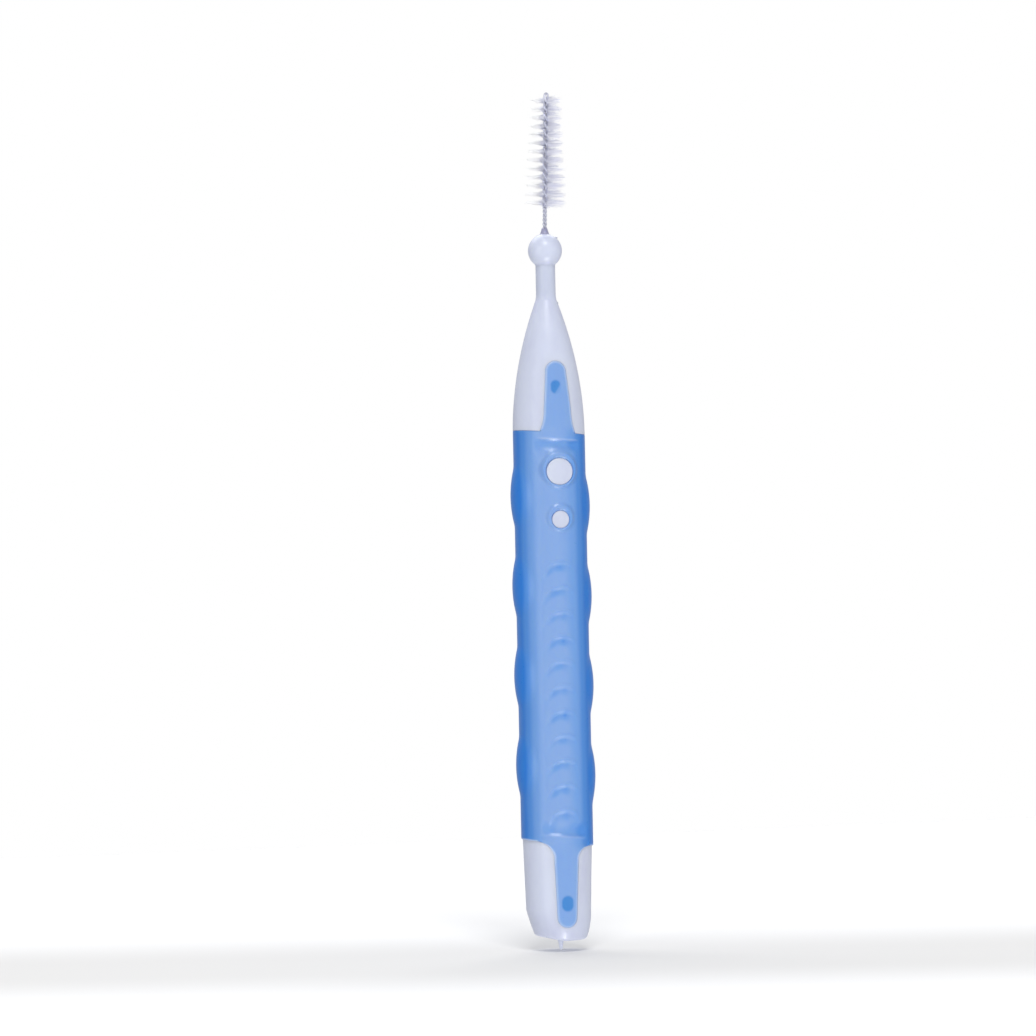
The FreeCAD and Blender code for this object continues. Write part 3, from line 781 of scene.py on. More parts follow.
@dataclass
class HandleCore:
    """Rigid core of the handle: nose, neck, ball and nipple above, butt below, pegs in front."""

    fillet_start: float = 0.25
    fillet_length: float = 0.75
    neck_length: float = 3.6
    neck_gap: float = 0.12
    ball_radius: float = 1.82
    ball_trim: float = 0.05
    nipple_gap: float = 0.06
    nipple_root: float = 0.5
    nipple_tip: float = 0.32
    nipple_length: float = 0.6
    nipple_power: float = 1.4
    nipple_dip: float = 0.05
    nipple_lip: tuple = ((0.05, 0.0), (0.08, 0.02))
    butt_length: float = 11.2
    end_edge: float = 0.3
    end_level: float = -32.5
    end_slope: float = 0.2
    slope_start: float = -0.2
    left_taper: Taper = Taper(start=-29.2, inward=0.85, power=1.3)
    right_taper: Taper = Taper(start=-30.2, inward=0.5, power=1.7)
    face_taper: Taper = Taper(start=-31.0, inward=0.62, power=1.6)
    nib_root: float = 0.36
    nib_tip: float = 0.15
    nib_length: float = 1.1
    nib_sunk: float = 0.5
    nib_power: float = 0.8
    nib_shift: float = 0.15
    nib_lean: float = 0.06
    nib_oval: float = 0.12
    nib_oval_turn: float = 0.7
    nib_lobes: float = 0.06
    nib_tear: float = 0.1
    nib_tear_turn: float = 0.8
    peg_face: float = 3.89
    peg_edge: float = 0.1
    parting_rise: float = 0.018
    parting_half_width: float = 0.07
    parting_gap: float = 0.3
    parting_least_radius: float = 0.9
    specks: tuple = (
        FlashSpeck(place=(1.12, -0.25, 35.55), size=(0.16, 0.2, 0.2)),
        FlashSpeck(place=(1.16, -0.2, 42.55), size=(0.2, 0.2, 0.13)),
    )
    speck_lobes: float = 0.15
    speck_turn: float = 1.0
    pocket_overlap: float = 0.2
    # Painted shade: the neck darker below the ball, and the gap round each peg darker where shade falls
    # in it.
    neck_shade: float = 0.3
    neck_shade_start: tuple = (-0.4, 0.8)
    neck_shade_end: float = 0.1
    crevice_margin: float = 0.05
    crevice_depths: tuple = (0.06, 0.35)
    crevice_share: float = 0.8
    # Heights over which the painted shade of the nipple comes in.
    nipple_painted_shade_heights: tuple = (42.85, 43.0)
    crease: float = 38.0
    columns: int = 192
    end_rows: int = 16
    edge_rows: int = 12
    butt_rows: int = 140
    spine_rows: int = 60
    nose_rows: int = 150
    fillet_rows: int = 14
    neck_rows: int = 24
    ball_rows: int = 60
    nipple_rows: int = 12
    peg_columns: int = 96
    peg_edge_rows: int = 8
    peg_face_rows: int = 10
    nib_columns: int = 28
    nib_rows: int = 12
    speck_columns: int = 24
    speck_rows: int = 13
    pocket_rows: int = 60

    def outline(self) -> Array:
        """Outline of the core, from the butt's end up to the nipple.

        Returns:
            Pairs of radius and height.
        """
        half = PROFILE.grip_half
        end = half + self.butt_length
        rim = float(PROFILE.butt_radius(-end))
        edge = self.end_edge
        flat = [(r, -end) for r in np.linspace(POLE, rim - edge, self.end_rows)[:-1]]
        corner = [
            (rim - edge + edge * math.sin(a), -end + edge * (1 - math.cos(a)))
            for a in np.linspace(0.0, math.pi / 2, self.edge_rows)
        ]
        butt_z = np.linspace(-end + edge, -half, self.butt_rows)[1:]
        butt = list(zip(PROFILE.butt_radius(butt_z), butt_z))
        spine = [(PROFILE.spine_radius, z) for z in np.linspace(-half, half, self.spine_rows)]
        nose_z = np.linspace(half, PROFILE.nose_tip - self.fillet_start, self.nose_rows)
        nose = list(zip(PROFILE.nose_radius(nose_z), nose_z))
        return np.array(flat + corner + butt + spine + nose + self.neck_run(nose[-1]))

    def neck_run(self, start: tuple) -> list:
        """Outline of the neck, ball and nipple, above the nose.

        Args:
            start: radius and height at which the nose ends.
        Returns:
            Pairs of radius and height.
        """
        radius = PROFILE.neck_radius
        seat = PROFILE.nose_tip + self.neck_length
        fillet = [
            (radius + (start[0] - radius) * (1 - t) ** 2, start[1] + self.fillet_length * t)
            for t in np.linspace(0.0, 1.0, self.fillet_rows)[1:]
        ]
        neck_z = np.linspace(fillet[-1][1], seat - self.neck_gap, self.neck_rows)[1:]
        neck = [(radius, z) for z in neck_z]
        centre = seat + math.sqrt(self.ball_radius ** 2 - radius ** 2)
        low = -math.acos(radius / self.ball_radius) + self.ball_trim
        high = math.acos(self.nipple_root / self.ball_radius) - self.ball_trim
        ball = [
            (self.ball_radius * math.cos(a), centre + self.ball_radius * math.sin(a))
            for a in np.linspace(low, high, self.ball_rows)
        ]
        top = centre + self.ball_radius + self.nipple_length
        return fillet + neck + ball + self.nipple_run(ball[-1][1] + self.nipple_gap, top)

    def nipple_run(self, foot: float, top: float) -> list:
        """Outline of the nipple, with its rim and its hollow end.

        Args:
            foot: height at which it leaves the ball.
            top: height of its rim.
        Returns:
            Pairs of radius and height.
        """
        flare = self.nipple_root - self.nipple_tip
        rise = top - self.nipple_dip - foot
        side = [
            (self.nipple_tip + flare * (1 - t) ** self.nipple_power, foot + rise * t)
            for t in np.linspace(0.0, 1.0, self.nipple_rows)
        ]
        lip = [(self.nipple_tip - inward, top - down) for inward, down in self.nipple_lip]
        return side + lip + [(POLE, top - self.nipple_dip)]

    def shape_butt(self, points: Array) -> Array:
        """Draw the end of the butt in, most on the left, and slope its left half.

        Args:
            points: coordinates of the turned core, with the last axis of length 3.
        Returns:
            The moved points.
        """
        x, y, z = np.moveaxis(points, -1, 0)
        radius = np.maximum(np.hypot(x, y), TINY)
        end = -(PROFILE.grip_half + self.butt_length)
        drawn = np.zeros_like(z)
        for taper, share in (
            (self.left_taper, np.clip(-x / radius, 0, 1) ** 2),
            (self.right_taper, np.clip(x / radius, 0, 1) ** 2),
            (self.face_taper, (y / radius) ** 2),
        ):
            along = np.clip((taper.start - z) / (taper.start - end), 0.0, 1.0)
            drawn = drawn + share * taper.inward * along ** taper.power
        shrink = 1.0 - drawn / float(PROFILE.butt_radius(end))
        x, y = x * shrink, y * shrink
        start = self.left_taper.start
        level = self.end_level + self.end_slope * np.clip(self.slope_start - x, 0.0, None)
        z = np.where(z < start, start + (z - start) * (level - start) / (end - start), z)
        return np.stack([x, y, z], axis=-1)

    def lathe(self, work: MeshWork) -> None:
        """Turn the outline into the body of the core, with flats on the spine and a parting ridge.

        Args:
            work: where the points and faces go.
        """
        outline = self.outline()
        around = full_turn(self.columns)
        radius, height = outline[:, :1], outline[:, 1:]
        away = np.abs(height) - PROFILE.grip_half
        outside = (away > self.parting_gap) & (radius > self.parting_least_radius)
        ridge = bell(np.abs(np.cos(around)) * radius, self.parting_half_width) * self.parting_rise
        radius = radius + np.where(outside, ridge, 0.0)
        x = radius * np.sin(around)
        flat = PROFILE.spine_half_width
        x = np.where(away < -TOUCH, np.clip(x, -flat, flat), x)
        y = -radius * np.cos(around)
        points = np.stack([x, y, np.broadcast_to(height, x.shape)], axis=-1)
        middles = tuple(self.shape_butt(points[row].mean(axis=0)) for row in (0, -1))
        work.tube(self.shape_butt(points), middles)

    def add_peg(self, work: MeshWork, peg: Peg) -> None:
        """Add a peg with a rounded edge, from the spine out to its face.

        Args:
            work: where the points and faces go.
            peg: radius and height of the peg.
        """
        edge = self.peg_edge
        turn = np.linspace(0.0, math.pi / 2, self.peg_edge_rows)
        foot = [(peg.radius, self.peg_face - PROFILE.spine_half_width)]
        corner = [(peg.radius - edge * (1 - math.cos(a)), edge * (1 - math.sin(a))) for a in turn]
        face = [(r, 0.0) for r in np.linspace(peg.radius - edge, POLE, self.peg_face_rows)[1:]]
        steps = np.array(foot + corner + face)
        radius, depth = steps[:, :1], steps[:, 1:]
        around = full_turn(self.peg_columns)
        x = radius * np.sin(around)
        y = np.broadcast_to(-(self.peg_face - depth), x.shape)
        z = peg.height + radius * np.cos(around)
        middles = tuple((0.0, y[row, 0], peg.height) for row in (0, -1))
        work.tube(np.stack([x, y, z], axis=-1), middles)

    def add_nib(self, work: MeshWork) -> None:
        """Add the gate mark under the butt, torn off unevenly.

        Args:
            work: where the points and faces go.
        """
        around = full_turn(self.nib_columns)
        drop = np.linspace(-self.nib_sunk, 1.0, self.nib_rows)[:, None]
        share = np.clip(drop, 0.0, 1.0)
        radius = self.nib_root + (self.nib_tip - self.nib_root) * share ** self.nib_power
        oval = self.nib_oval * share * np.sin(2 * around + self.nib_oval_turn)
        lobes = self.nib_lobes * share * np.sin(5 * around)
        radius = radius * (1 + oval + lobes)
        x = radius * np.sin(around) + self.nib_shift + self.nib_lean * share
        y = -radius * np.cos(around)
        torn = self.nib_tear * share * np.cos(around - self.nib_tear_turn)
        z = self.end_level - self.nib_length * drop + torn
        rings = np.stack([x, y, z], axis=-1)
        work.tube(rings, (rings[0].mean(axis=0), rings[-1].mean(axis=0)))

    def add_speck(self, work: MeshWork, speck: FlashSpeck) -> None:
        """Add a speck of mould flash, half sunk in the surface.

        Args:
            work: where the points and faces go.
            speck: place and size of the speck.
        """
        up = np.linspace(-math.pi / 2, math.pi / 2, self.speck_rows)[1:-1, None]
        around = full_turn(self.speck_columns)
        swell = 1.0 + self.speck_lobes * np.sin(3 * around + self.speck_turn) * np.cos(up)
        x = np.cos(up) * np.cos(around) * swell
        y = np.cos(up) * np.sin(around) * swell
        unit = np.stack([x, y, np.broadcast_to(np.sin(up), x.shape)], axis=-1)
        place, size = np.array(speck.place), np.array(speck.size)
        middles = tuple(place + size * (0.0, 0.0, pole) for pole in (-1.0, 1.0))
        work.tube(place + size * unit, middles)

    def pocket_cutter(self) -> bpy.types.Object:
        """Make the prisms that sink the pockets of the tongues into the core.

        Returns:
            One object with a prism for each pocket.
        """
        work = MeshWork()
        for tongue in TONGUES:
            reach = tongue.reaches(self.pocket_rows)[:-1]
            reach = np.concatenate([[-self.pocket_overlap], reach])
            width = tongue.half_width(np.clip(reach, 0.0, None))
            height = tongue.height_at(reach)
            x = np.concatenate([width, [0.0], -width[::-1]])
            z = np.concatenate([height, [tongue.height_at(tongue.length)], height[::-1]])
            for face in Face:
                loops = [
                    work.add(np.stack([x, np.full_like(x, face.value * depth), z], axis=-1))
                    for depth in (tongue.floor, 2 * PROFILE.grip_radius)
                ]
                work.quads(np.stack(loops), closed=True)
                for loop in loops:
                    work.polygon(loop.tolist())
        return work.build("pocket_cutter")

    def sink_pockets(self, piece: bpy.types.Object) -> None:
        """Cut the pockets of the tongues and keep the result as the core's mesh.

        Args:
            piece: the turned core.
        """
        cutter = self.pocket_cutter()
        modifier = piece.modifiers.new("pockets", "BOOLEAN")
        modifier.operation = "DIFFERENCE"
        modifier.solver = "EXACT"
        modifier.object = cutter
        bpy.context.view_layer.update()
        graph = bpy.context.evaluated_depsgraph_get()
        mesh = bpy.data.meshes.new_from_object(piece.evaluated_get(graph))
        piece.modifiers.clear()
        piece.data = mesh
        bpy.data.objects.remove(cutter)

    def mark(self, mesh: bpy.types.Mesh) -> None:
        """Keep on the mesh the painted shade: on the neck below the ball, in the gaps round the pegs and
        on the nipple.

        Args:
            mesh: mesh of the finished core.
        """
        x, y, z = point_positions(mesh).T
        # Painted shade: the neck darker below the ball, and the gap round each peg darker as it sinks.
        low, high = self.neck_shade_start
        seat = PROFILE.nose_tip + self.neck_length
        above = smoothstep(seat - self.neck_shade_end, seat + self.neck_shade_end, z)
        neck = smoothstep(PROFILE.nose_tip + low, PROFILE.nose_tip + high, z) * (1.0 - above)
        hollow = self.neck_shade * neck
        for peg in PEGS:
            near = (np.hypot(x, z - peg.height) < peg.radius + self.crevice_margin) & (y < 0)
            sunk = smoothstep(*self.crevice_depths, self.peg_face + y)
            hollow = np.where(near, sunk, hollow)
        store_attribute(mesh, "painted_shade", self.crevice_share * hollow)
        # Painted shade on the nipple above the ball.
        store_attribute(mesh, "collar", smoothstep(*self.nipple_painted_shade_heights, z))

    def build(self) -> bpy.types.Object:
        """Make the core and dress it.

        Returns:
            The finished piece.
        """
        work = MeshWork()
        self.lathe(work)
        piece = work.build("handle_core_moulding")
        self.sink_pockets(piece)
        PROFILE.slant_ends(piece.data)
        extras = MeshWork()
        for peg in PEGS:
            self.add_peg(extras, peg)
        self.add_nib(extras)
        for speck in self.specks:
            self.add_speck(extras, speck)
        small = extras.build("handle_core_extras")
        both = [piece, small]
        with bpy.context.temp_override(active_object=piece, selected_editable_objects=both):
            bpy.ops.object.join()
        piece.data.set_sharp_from_angle(angle=math.radians(self.crease))
        self.mark(piece.data)
        dress(piece, MilkyPlastic().material())
        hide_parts("handle_core")
        return piece


@dataclass(frozen=True)
class StepShade:
    """Painted shade and light of an arched step: deeper blue under its edge and paler further down.

    The change wanders sideways and varies in strength from step to step, and it is broken up
    across each step. The waves give how fast each of these goes.
    """

    deeper: float = 0.36
    deeper_place: float = 0.5
    deeper_spread: float = 0.46
    paler: float = 0.10
    paler_place: float = 1.6
    paler_spread: float = 0.5
    # The painted shade is shifted to the left of the step's middle, where the light from the left shows
    # it most.
    shift: float = 0.55
    fade: tuple = (0.2, 0.72)
    wander: float = 0.15
    wander_wave: float = 1.7
    uneven: float = 0.3
    uneven_wave: float = 2.3
    uneven_start: float = 0.6
    broken: float = 0.2
    broken_wave: float = 4.6
    broken_change: float = 1.9

    def tint(self, number: int, below: Array, across: Array, half_width: float) -> Array:
        """Painted shade and light of one step, as a change of depth.

        Args:
            number: number of the step.
            below: distances down from its edge.
            across: distances round the barrel from the middle of the front.
            half_width: half width of the step.
        Returns:
            What the step adds to the depth of the blue.
        """
        aside = across + self.shift + self.wander * math.sin(self.wander_wave * number)
        near = 1.0 - smoothstep(*self.fade, np.abs(aside) / half_width)
        uneven = 1.0 + self.uneven * math.sin(self.uneven_wave * number + self.uneven_start)
        waves = np.sin(self.broken_wave * aside + self.broken_change * number)
        broken = 1.0 - self.broken + self.broken * waves
        dark = bell(below - self.deeper_place, self.deeper_spread)
        pale = bell(below - self.paler_place, self.paler_spread)
        return near * (self.deeper * uneven * broken * dark - self.paler * pale)


@dataclass(frozen=True)
class SleeveShade:
    """How deep the blue looks over the sleeve, and how strongly the painted highlights show.

    The depth follows the thickness of the soft material, which is thicker at the sides, with painted
    shade added towards the sides, under the edge of each arched step and in the end grooves. The
    painted highlights are the pale borders of the tongues, partly the haze of the see-through
    material, the line at the lower end of the barrel and the glints along the end grooves.
    """

    least: float = 0.02
    # Deeper towards the sides: partly the thicker material there, partly painted shade.
    side: float = 1.8
    swelling: float = 0.38
    # Painted shade in the end grooves.
    groove: float = 0.22
    tongue: float = 0.12
    tongue_start: tuple = (-0.4, 1.2)
    # Angle of the palest line round the barrel, from which the painted shade darkens towards the sides.
    pale_line: float = -14.0
    # Pale tongue borders: partly the haze of the see-through material, partly painted highlight.
    border_width: tuple = (0.05, 0.34)
    border_start: float = 0.3
    upper_border: float = 0.5
    lower_border: float = 0.85
    lower_border_loss: float = 0.45
    lower_border_fade: tuple = (0.8, 3.0)
    # Painted highlight along the lower end of the barrel.
    end_highlight: float = 0.7
    end_line_width: tuple = (0.04, 0.2)
    end_line_start: float = 0.3
    # Painted highlights on the crests of the end grooves.
    upper_glint: float = 0.36
    lower_glint: float = 0.2
    glint_place: float = 0.5
    glint_spread: float = 0.1
    glint_angles: tuple = (40.0, 25.0)
    glint_margin: float = 0.4

    def border(self, end: End, reach: Array) -> Array:
        """Strength of a tongue's pale border, partly painted highlight, at a distance from the sleeve's
        end.
        """
        fading = self.lower_border - self.lower_border_loss * smoothstep(*self.lower_border_fade, reach)
        return np.where(end is End.UPPER, self.upper_border, fading)


@dataclass
class GripSleeve:
    """Soft sleeve over the spine: barrel, finger bumps, arched steps, end grooves and tongues."""

    bump_heights: tuple = (-14.4, -4.8, 4.8, 14.4)
    bump_stagger: float = 0.48
    bump_half_length: float = 3.2
    bump_height: float = 0.44
    bump_swell: float = 3.0
    bump_span: float = 5.0
    bump_blend: float = 0.1
    step_count: int = 11
    step_first: float = 7.85
    step_pitch: float = 2.63
    step_ramp: float = 2.45
    step_half_width: float = 2.0
    step_overrun: float = 1.25
    step_leg: float = 1.3
    step_leg_power: float = 2.5
    step_riser: float = 0.5
    step_depth: float = 0.2
    step_shift: float = 0.3
    step_fade: tuple = (0.4, 1.0)
    step_lip: float = 0.06
    step_lip_place: float = -0.1
    step_lip_spread: float = 0.15
    # Painted shade and light of the arched steps.
    step_shade: StepShade = StepShade()
    groove_height: float = 20.45
    groove_depth: float = 0.27
    groove_half_width: float = 0.46
    groove_run_in: float = 0.7
    groove_power: float = 2.6
    groove_angles: tuple = (44.0, 20.0)
    rim_crest: float = 0.28
    rim_spread: float = 0.27
    rim_rise: float = 0.17
    rim_shift: float = 0.2
    rim_dip: float = 0.4
    rim_reach: float = 2.0
    gap_depth: float = 0.16
    gap_sides: tuple = (0.02, 0.14)
    tongue_proud: float = 0.03
    tongue_run_in: float = 0.5
    tongue_step: float = 0.9
    tongue_blend: float = 0.07
    lip: float = 0.14
    lip_drop: float = 0.09
    clearance: float = 0.008
    shade: SleeveShade = SleeveShade()
    crease: float = 50.0
    weld: float = 2e-4
    sector_columns: int = 100
    side_columns: int = 76
    rows: int = 520
    lip_rows: int = 9
    tongue_rows: int = 72

    def sector_angle(self, z: Array) -> Array:
        """Half angle of the stretch of the barrel that runs into the tongues.

        Args:
            z: heights of the rows.
        Returns:
            The half angle for each row, in a column.
        """
        share = smoothstep(-PROFILE.grip_half, PROFILE.grip_half, z)
        width = LOWER_TONGUE.root + (UPPER_TONGUE.root - LOWER_TONGUE.root) * share
        return np.arcsin((width - self.clearance) / PROFILE.grip_radius)[:, None]

    def sector_places(self) -> Array:
        """Places across a tongue from -1 to 1, closer together at its borders."""
        return np.sin(np.linspace(-math.pi / 2, math.pi / 2, self.sector_columns + 1))

    def column_angles(self, z: Array) -> Array:
        """Angle round the handle of each column, for each height.

        Args:
            z: heights of the rows.
        Returns:
            Angles in rows and columns: front sector, right side, back sector, left side.
        """
        half = self.sector_angle(z)
        front = np.arcsin(self.sector_places() * np.sin(half))
        sides = np.linspace(0.0, 1.0, self.side_columns + 1)[1:-1]
        right = half + (math.pi - 2 * half) * sides
        return np.concatenate([front, right, front + math.pi, right + math.pi], axis=1)

    def bumps(self, angle: Array, z: Array, radius: Array) -> Array:
        """Swell the sides of the barrel into finger bumps.

        Args:
            angle: angles round the handle.
            z: heights.
            radius: radius of the plain barrel.
        Returns:
            The radius with the bumps.
        """
        bend = (self.bump_half_length ** 2 + self.bump_height ** 2) / (2 * self.bump_height)
        crest = PROFILE.grip_radius + self.bump_height
        for side in (1, -1):
            toward = np.sin(angle) * side
            across = np.cos(angle)
            for height in self.bump_heights:
                offset = z - (height - side * self.bump_stagger)
                arc = np.sqrt(np.clip(bend ** 2 - offset ** 2, 0.0, None))
                rise = crest - bend + arc - self.bump_swell
                inside = np.clip(self.bump_swell ** 2 - (rise * across) ** 2, 0.0, None)
                swollen = rise * toward + np.sqrt(inside)
                near = (toward > 0) & (np.abs(offset) < self.bump_span)
                radius = soft_max(radius, np.where(near, swollen, 0.0), self.bump_blend)
        return radius

    def below_arch(self, angle: Array, z: Array, number: int) -> Array:
        """Distance straight down from the arched edge of one step on the front.

        Args:
            angle: angles round the handle.
            z: heights.
            number: number of the step, from the top.
        Returns:
            The distance for each point, far below zero past the sides of the step.
        """
        across = np.abs(PROFILE.grip_radius * signed_turn(angle)) / self.step_half_width
        drop = self.step_leg * across ** self.step_leg_power
        far = np.where(across < self.step_overrun, drop, OUT_OF_REACH)
        return self.step_first - number * self.step_pitch - far - z

    def steps(self, angle: Array, z: Array) -> Array:
        """Depth of the arched steps carved into the front, less their raised lips.

        Args:
            angle: angles round the handle.
            z: heights.
        Returns:
            The depth at each point.
        """
        depth = np.zeros(np.broadcast(angle, z).shape)
        raised = np.zeros_like(depth)
        aside = np.abs(PROFILE.grip_radius * signed_turn(angle) + self.step_shift)
        fade = 1.0 - smoothstep(*self.step_fade, aside / self.step_half_width)
        for number in range(self.step_count):
            below = self.below_arch(angle, z, number)
            riser = smoothstep(0.0, self.step_riser, below)
            ramp = np.clip(1.0 - below / self.step_ramp, 0.0, 1.0)
            depth = np.maximum(depth, self.step_depth * riser * ramp * fade)
            crest = bell(below - self.step_lip_place, self.step_lip_spread)
            raised = raised + self.step_lip * fade * crest
        return depth - raised

    def step_painted_shade(self, angle: Array, z: Array) -> Array:
        """Painted shade and light of all the arched steps.

        Args:
            angle: angles round the handle.
            z: heights.
        Returns:
            What the steps add to the depth of the blue.
        """
        across = PROFILE.grip_radius * signed_turn(angle)
        tint = np.zeros(len(z))
        for number in range(self.step_count):
            below = self.below_arch(angle, z, number)
            tint = tint + self.step_shade.tint(number, below, across, self.step_half_width)
        return tint

    def grooves(self, angle: Array, z: Array) -> Array:
        """Depth of the end grooves, which fade towards the sides.

        Args:
            angle: angles round the handle.
            z: heights.
        Returns:
            The depth at each point.
        """
        fade = face_share(angle, *self.groove_angles)
        beyond = np.abs(z) - self.groove_height
        width = np.where(beyond > 0, self.groove_half_width, self.groove_run_in)
        section = np.exp(-(np.abs(beyond) / width) ** self.groove_power)
        return self.groove_depth * section * fade

    def peg_seats(self, x: Array, y: Array, z: Array) -> Array:
        """Raise a rounded rim round each peg and sink the gap beside the peg.

        Args:
            x: places across the barrel.
            y: places from front to back.
            z: heights.
        Returns:
            The new places from front to back.
        """
        front = -y
        for peg in PEGS:
            beside = np.hypot(x, z - peg.height) - peg.radius
            offset = np.hypot(x, z - peg.height - self.rim_shift) - peg.radius
            # The crest lies halfway between the barrel and a flat ring, and is raised from there.
            height = 0.5 * (PROFILE.grip_radius + 2.0 * self.rim_rise - front)
            outer = bell(offset - self.rim_crest, self.rim_spread)
            inner = 1.0 - self.rim_dip * np.clip(1.0 - offset / self.rim_crest, 0.0, 1.0) ** 2
            bead = height * np.where(offset > self.rim_crest, outer, inner)
            gap = (1.0 - smoothstep(*self.gap_sides, beside)) * self.gap_depth
            front = np.where((y < 0) & (beside < self.rim_reach), front + bead - gap, front)
        return np.where(y < 0, -front, y)

    def lip_fall(self, away: Array) -> Array:
        """How far the rounded lip of an edge falls at a distance from the edge."""
        edge = np.clip(1.0 - away / self.lip, 0.0, 1.0)
        return self.lip_drop * (1.0 - np.sqrt(1.0 - edge ** 2))

    def barrel(self, z: Array) -> Array:
        """Points of the outside of the barrel.

        Args:
            z: heights of the rows.
        Returns:
            Coordinates in rows and columns.
        """
        half = PROFILE.grip_half
        angle = self.column_angles(z)
        height = np.broadcast_to(z[:, None], angle.shape)
        radius = self.bumps(angle, height, np.full_like(angle, PROFILE.grip_radius))
        radius = radius - self.steps(angle, height) - self.grooves(angle, height)
        middles = (0.0, math.pi, 2 * math.pi)
        turn = np.min([np.abs(angle - middle) for middle in middles], axis=0)
        on_tongue = smoothstep(0.0, self.tongue_blend, self.sector_angle(z) - turn)
        radius = radius - self.lip_fall(half - np.abs(height)) * (1.0 - on_tongue)
        lower = (1.0 - smoothstep(-half, -half + self.tongue_step, height)) * on_tongue
        radius = radius - (PROFILE.grip_radius - PROFILE.butt_top - self.tongue_proud) * lower
        x = radius * np.sin(angle)
        y = -radius * np.cos(angle)
        return np.stack([x, self.peg_seats(x, y, height), height], axis=-1)

    def tongue_outside(self, tongue: Tongue, face: Face, reach: Array) -> Array:
        """Points of the outside of a tongue.

        Args:
            tongue: outline of the tongue.
            face: face of the handle that it lies on.
            reach: distances of the rows from the sleeve's end.
        Returns:
            Coordinates in rows and columns.
        """
        width = np.clip(tongue.half_width(reach) - self.clearance, 0.0, None)[:, None]
        x = self.sector_places() * width
        rows = np.broadcast_to(reach[:, None], x.shape)
        z = tongue.height_at(rows)
        eased = smoothstep(0.0, self.tongue_run_in, rows)
        if tongue.end is End.UPPER:
            radius = PROFILE.nose_radius(z) + self.tongue_proud * eased
        else:
            radius = PROFILE.butt_radius(z) + self.tongue_proud
        radius = radius - self.lip_fall(tongue.border_distance(x, rows)) * eased
        y = face.value * np.sqrt(np.clip(radius ** 2 - x ** 2, 0.0, None))
        return np.stack([-face.value * x, y, z], axis=-1)

    def inside_ring(self, angle: Array, height: float) -> Array:
        """Points on the spine under one end of the sleeve.

        Args:
            angle: angles of the columns.
            height: height of the end.
        Returns:
            Coordinates, a row for each column.
        """
        flat = PROFILE.spine_half_width
        x = np.clip(PROFILE.spine_radius * np.sin(angle), -flat, flat)
        y = -PROFILE.spine_radius * np.cos(angle)
        return np.stack([x, y, np.full_like(x, height)], axis=-1)

    def close_end(self, work: MeshWork, grid: Array, inner: Array, tongue: Tongue) -> None:
        """Add the tongues of one end, their undersides and the end face of the barrel.

        Args:
            work: where the points and faces go.
            grid: row of the barrel's outside at this end.
            inner: row of the barrel's inside at this end.
            tongue: tongue of this end.
        """
        reach = tongue.reaches(self.tongue_rows)
        span = self.sector_columns
        total = len(grid)
        for face, start in ((Face.FRONT, 0), (Face.BACK, span + self.side_columns)):
            sector = (start + np.arange(span + 1)) % total
            outside = self.tongue_outside(tongue, face, reach)
            outer = np.concatenate([grid[sector][None], work.add(outside[1:])])
            below = outside.copy()
            below[..., 1] = face.value * tongue.floor
            under = work.add(below)
            work.quads(outer)
            work.quads(under)
            work.quads(np.stack([inner[sector], under[0]]))
            for column in (0, -1):
                work.quads(np.stack([outer[:, column], under[:, column]]))
                work.polygon([outer[0, column], inner[sector[column]], under[0, column]])
            side = (start + span + np.arange(self.side_columns + 1)) % total
            work.quads(np.stack([grid[side], inner[side]]))

    def depth_with_painted_shade(self, points: Array) -> Array:
        """How deep the blue looks, by the thickness of the soft material and by painted shade:
        towards the sides, under the arched steps and in the end grooves.

        Args:
            points: coordinates, a row for each point.
        Returns:
            Depth of each point, from 0 to 1.
        """
        x, y, z = points.T
        shade = self.shade
        angle = np.arctan2(x, -y)
        proud = np.hypot(x, y) - PROFILE.grip_radius
        swelling = np.clip(proud / self.bump_height, 0.0, 1.0) * np.abs(np.sin(angle))
        # Deeper towards the sides: partly the thicker material there, partly painted shade away from the
        # pale line.
        side = 1.0 - np.abs(np.cos(angle - math.radians(shade.pale_line)))
        depth = shade.least + shade.side * side + shade.swelling * swelling
        # Painted shade and light of the arched steps, and painted shade in the end grooves.
        depth = depth + self.step_painted_shade(angle, z)
        depth = depth + shade.groove * (self.grooves(angle, z) / self.groove_depth)
        for tongue in TONGUES:
            eased = smoothstep(*shade.tongue_start, tongue.reach_at(z))
            depth = depth * (1 - eased) + eased * shade.tongue
        return np.clip(depth, 0.0, 1.0)

    def plug_share(self, points: Array) -> Array:
        """Where the soft plugs show on the tongues.

        Args:
            points: coordinates, a row for each point.
        Returns:
            1 for each point on a plug, 0 elsewhere.
        """
        x, _, z = points.T
        plug = np.zeros(len(points))
        for tongue in TONGUES:
            reach = tongue.reach_at(z)
            plug = np.where(reach > 0.0, tongue.slot_depth(x, reach), plug)
        return plug

    def painted_highlights(self, points: Array) -> Array:
        """How strong the painted highlights are: the tongues' pale borders, partly the haze of the
        see-through material, the line along the lower end of the barrel and the glints on the crests
        of the end grooves.

        Args:
            points: coordinates, a row for each point.
        Returns:
            Paleness of each point, from 0 to 1.
        """
        x, y, z = points.T
        shade = self.shade
        rim = np.zeros(len(points))
        for tongue in TONGUES:
            reach = tongue.reach_at(z)
            away = tongue.border_distance(x, np.clip(reach, 0.0, tongue.length))
            border = 1.0 - smoothstep(*shade.border_width, away)
            border = border * smoothstep(0.0, shade.border_start, reach)
            rim = np.where(reach > 0.0, shade.border(tongue.end, reach) * border, rim)
        # Painted highlight along the lower end of the barrel.
        beside = smoothstep(0.0, shade.end_line_start, np.abs(x) - LOWER_TONGUE.root)
        line = 1.0 - smoothstep(*shade.end_line_width, z + PROFILE.grip_half)
        rim = np.maximum(rim, shade.end_highlight * beside * line)
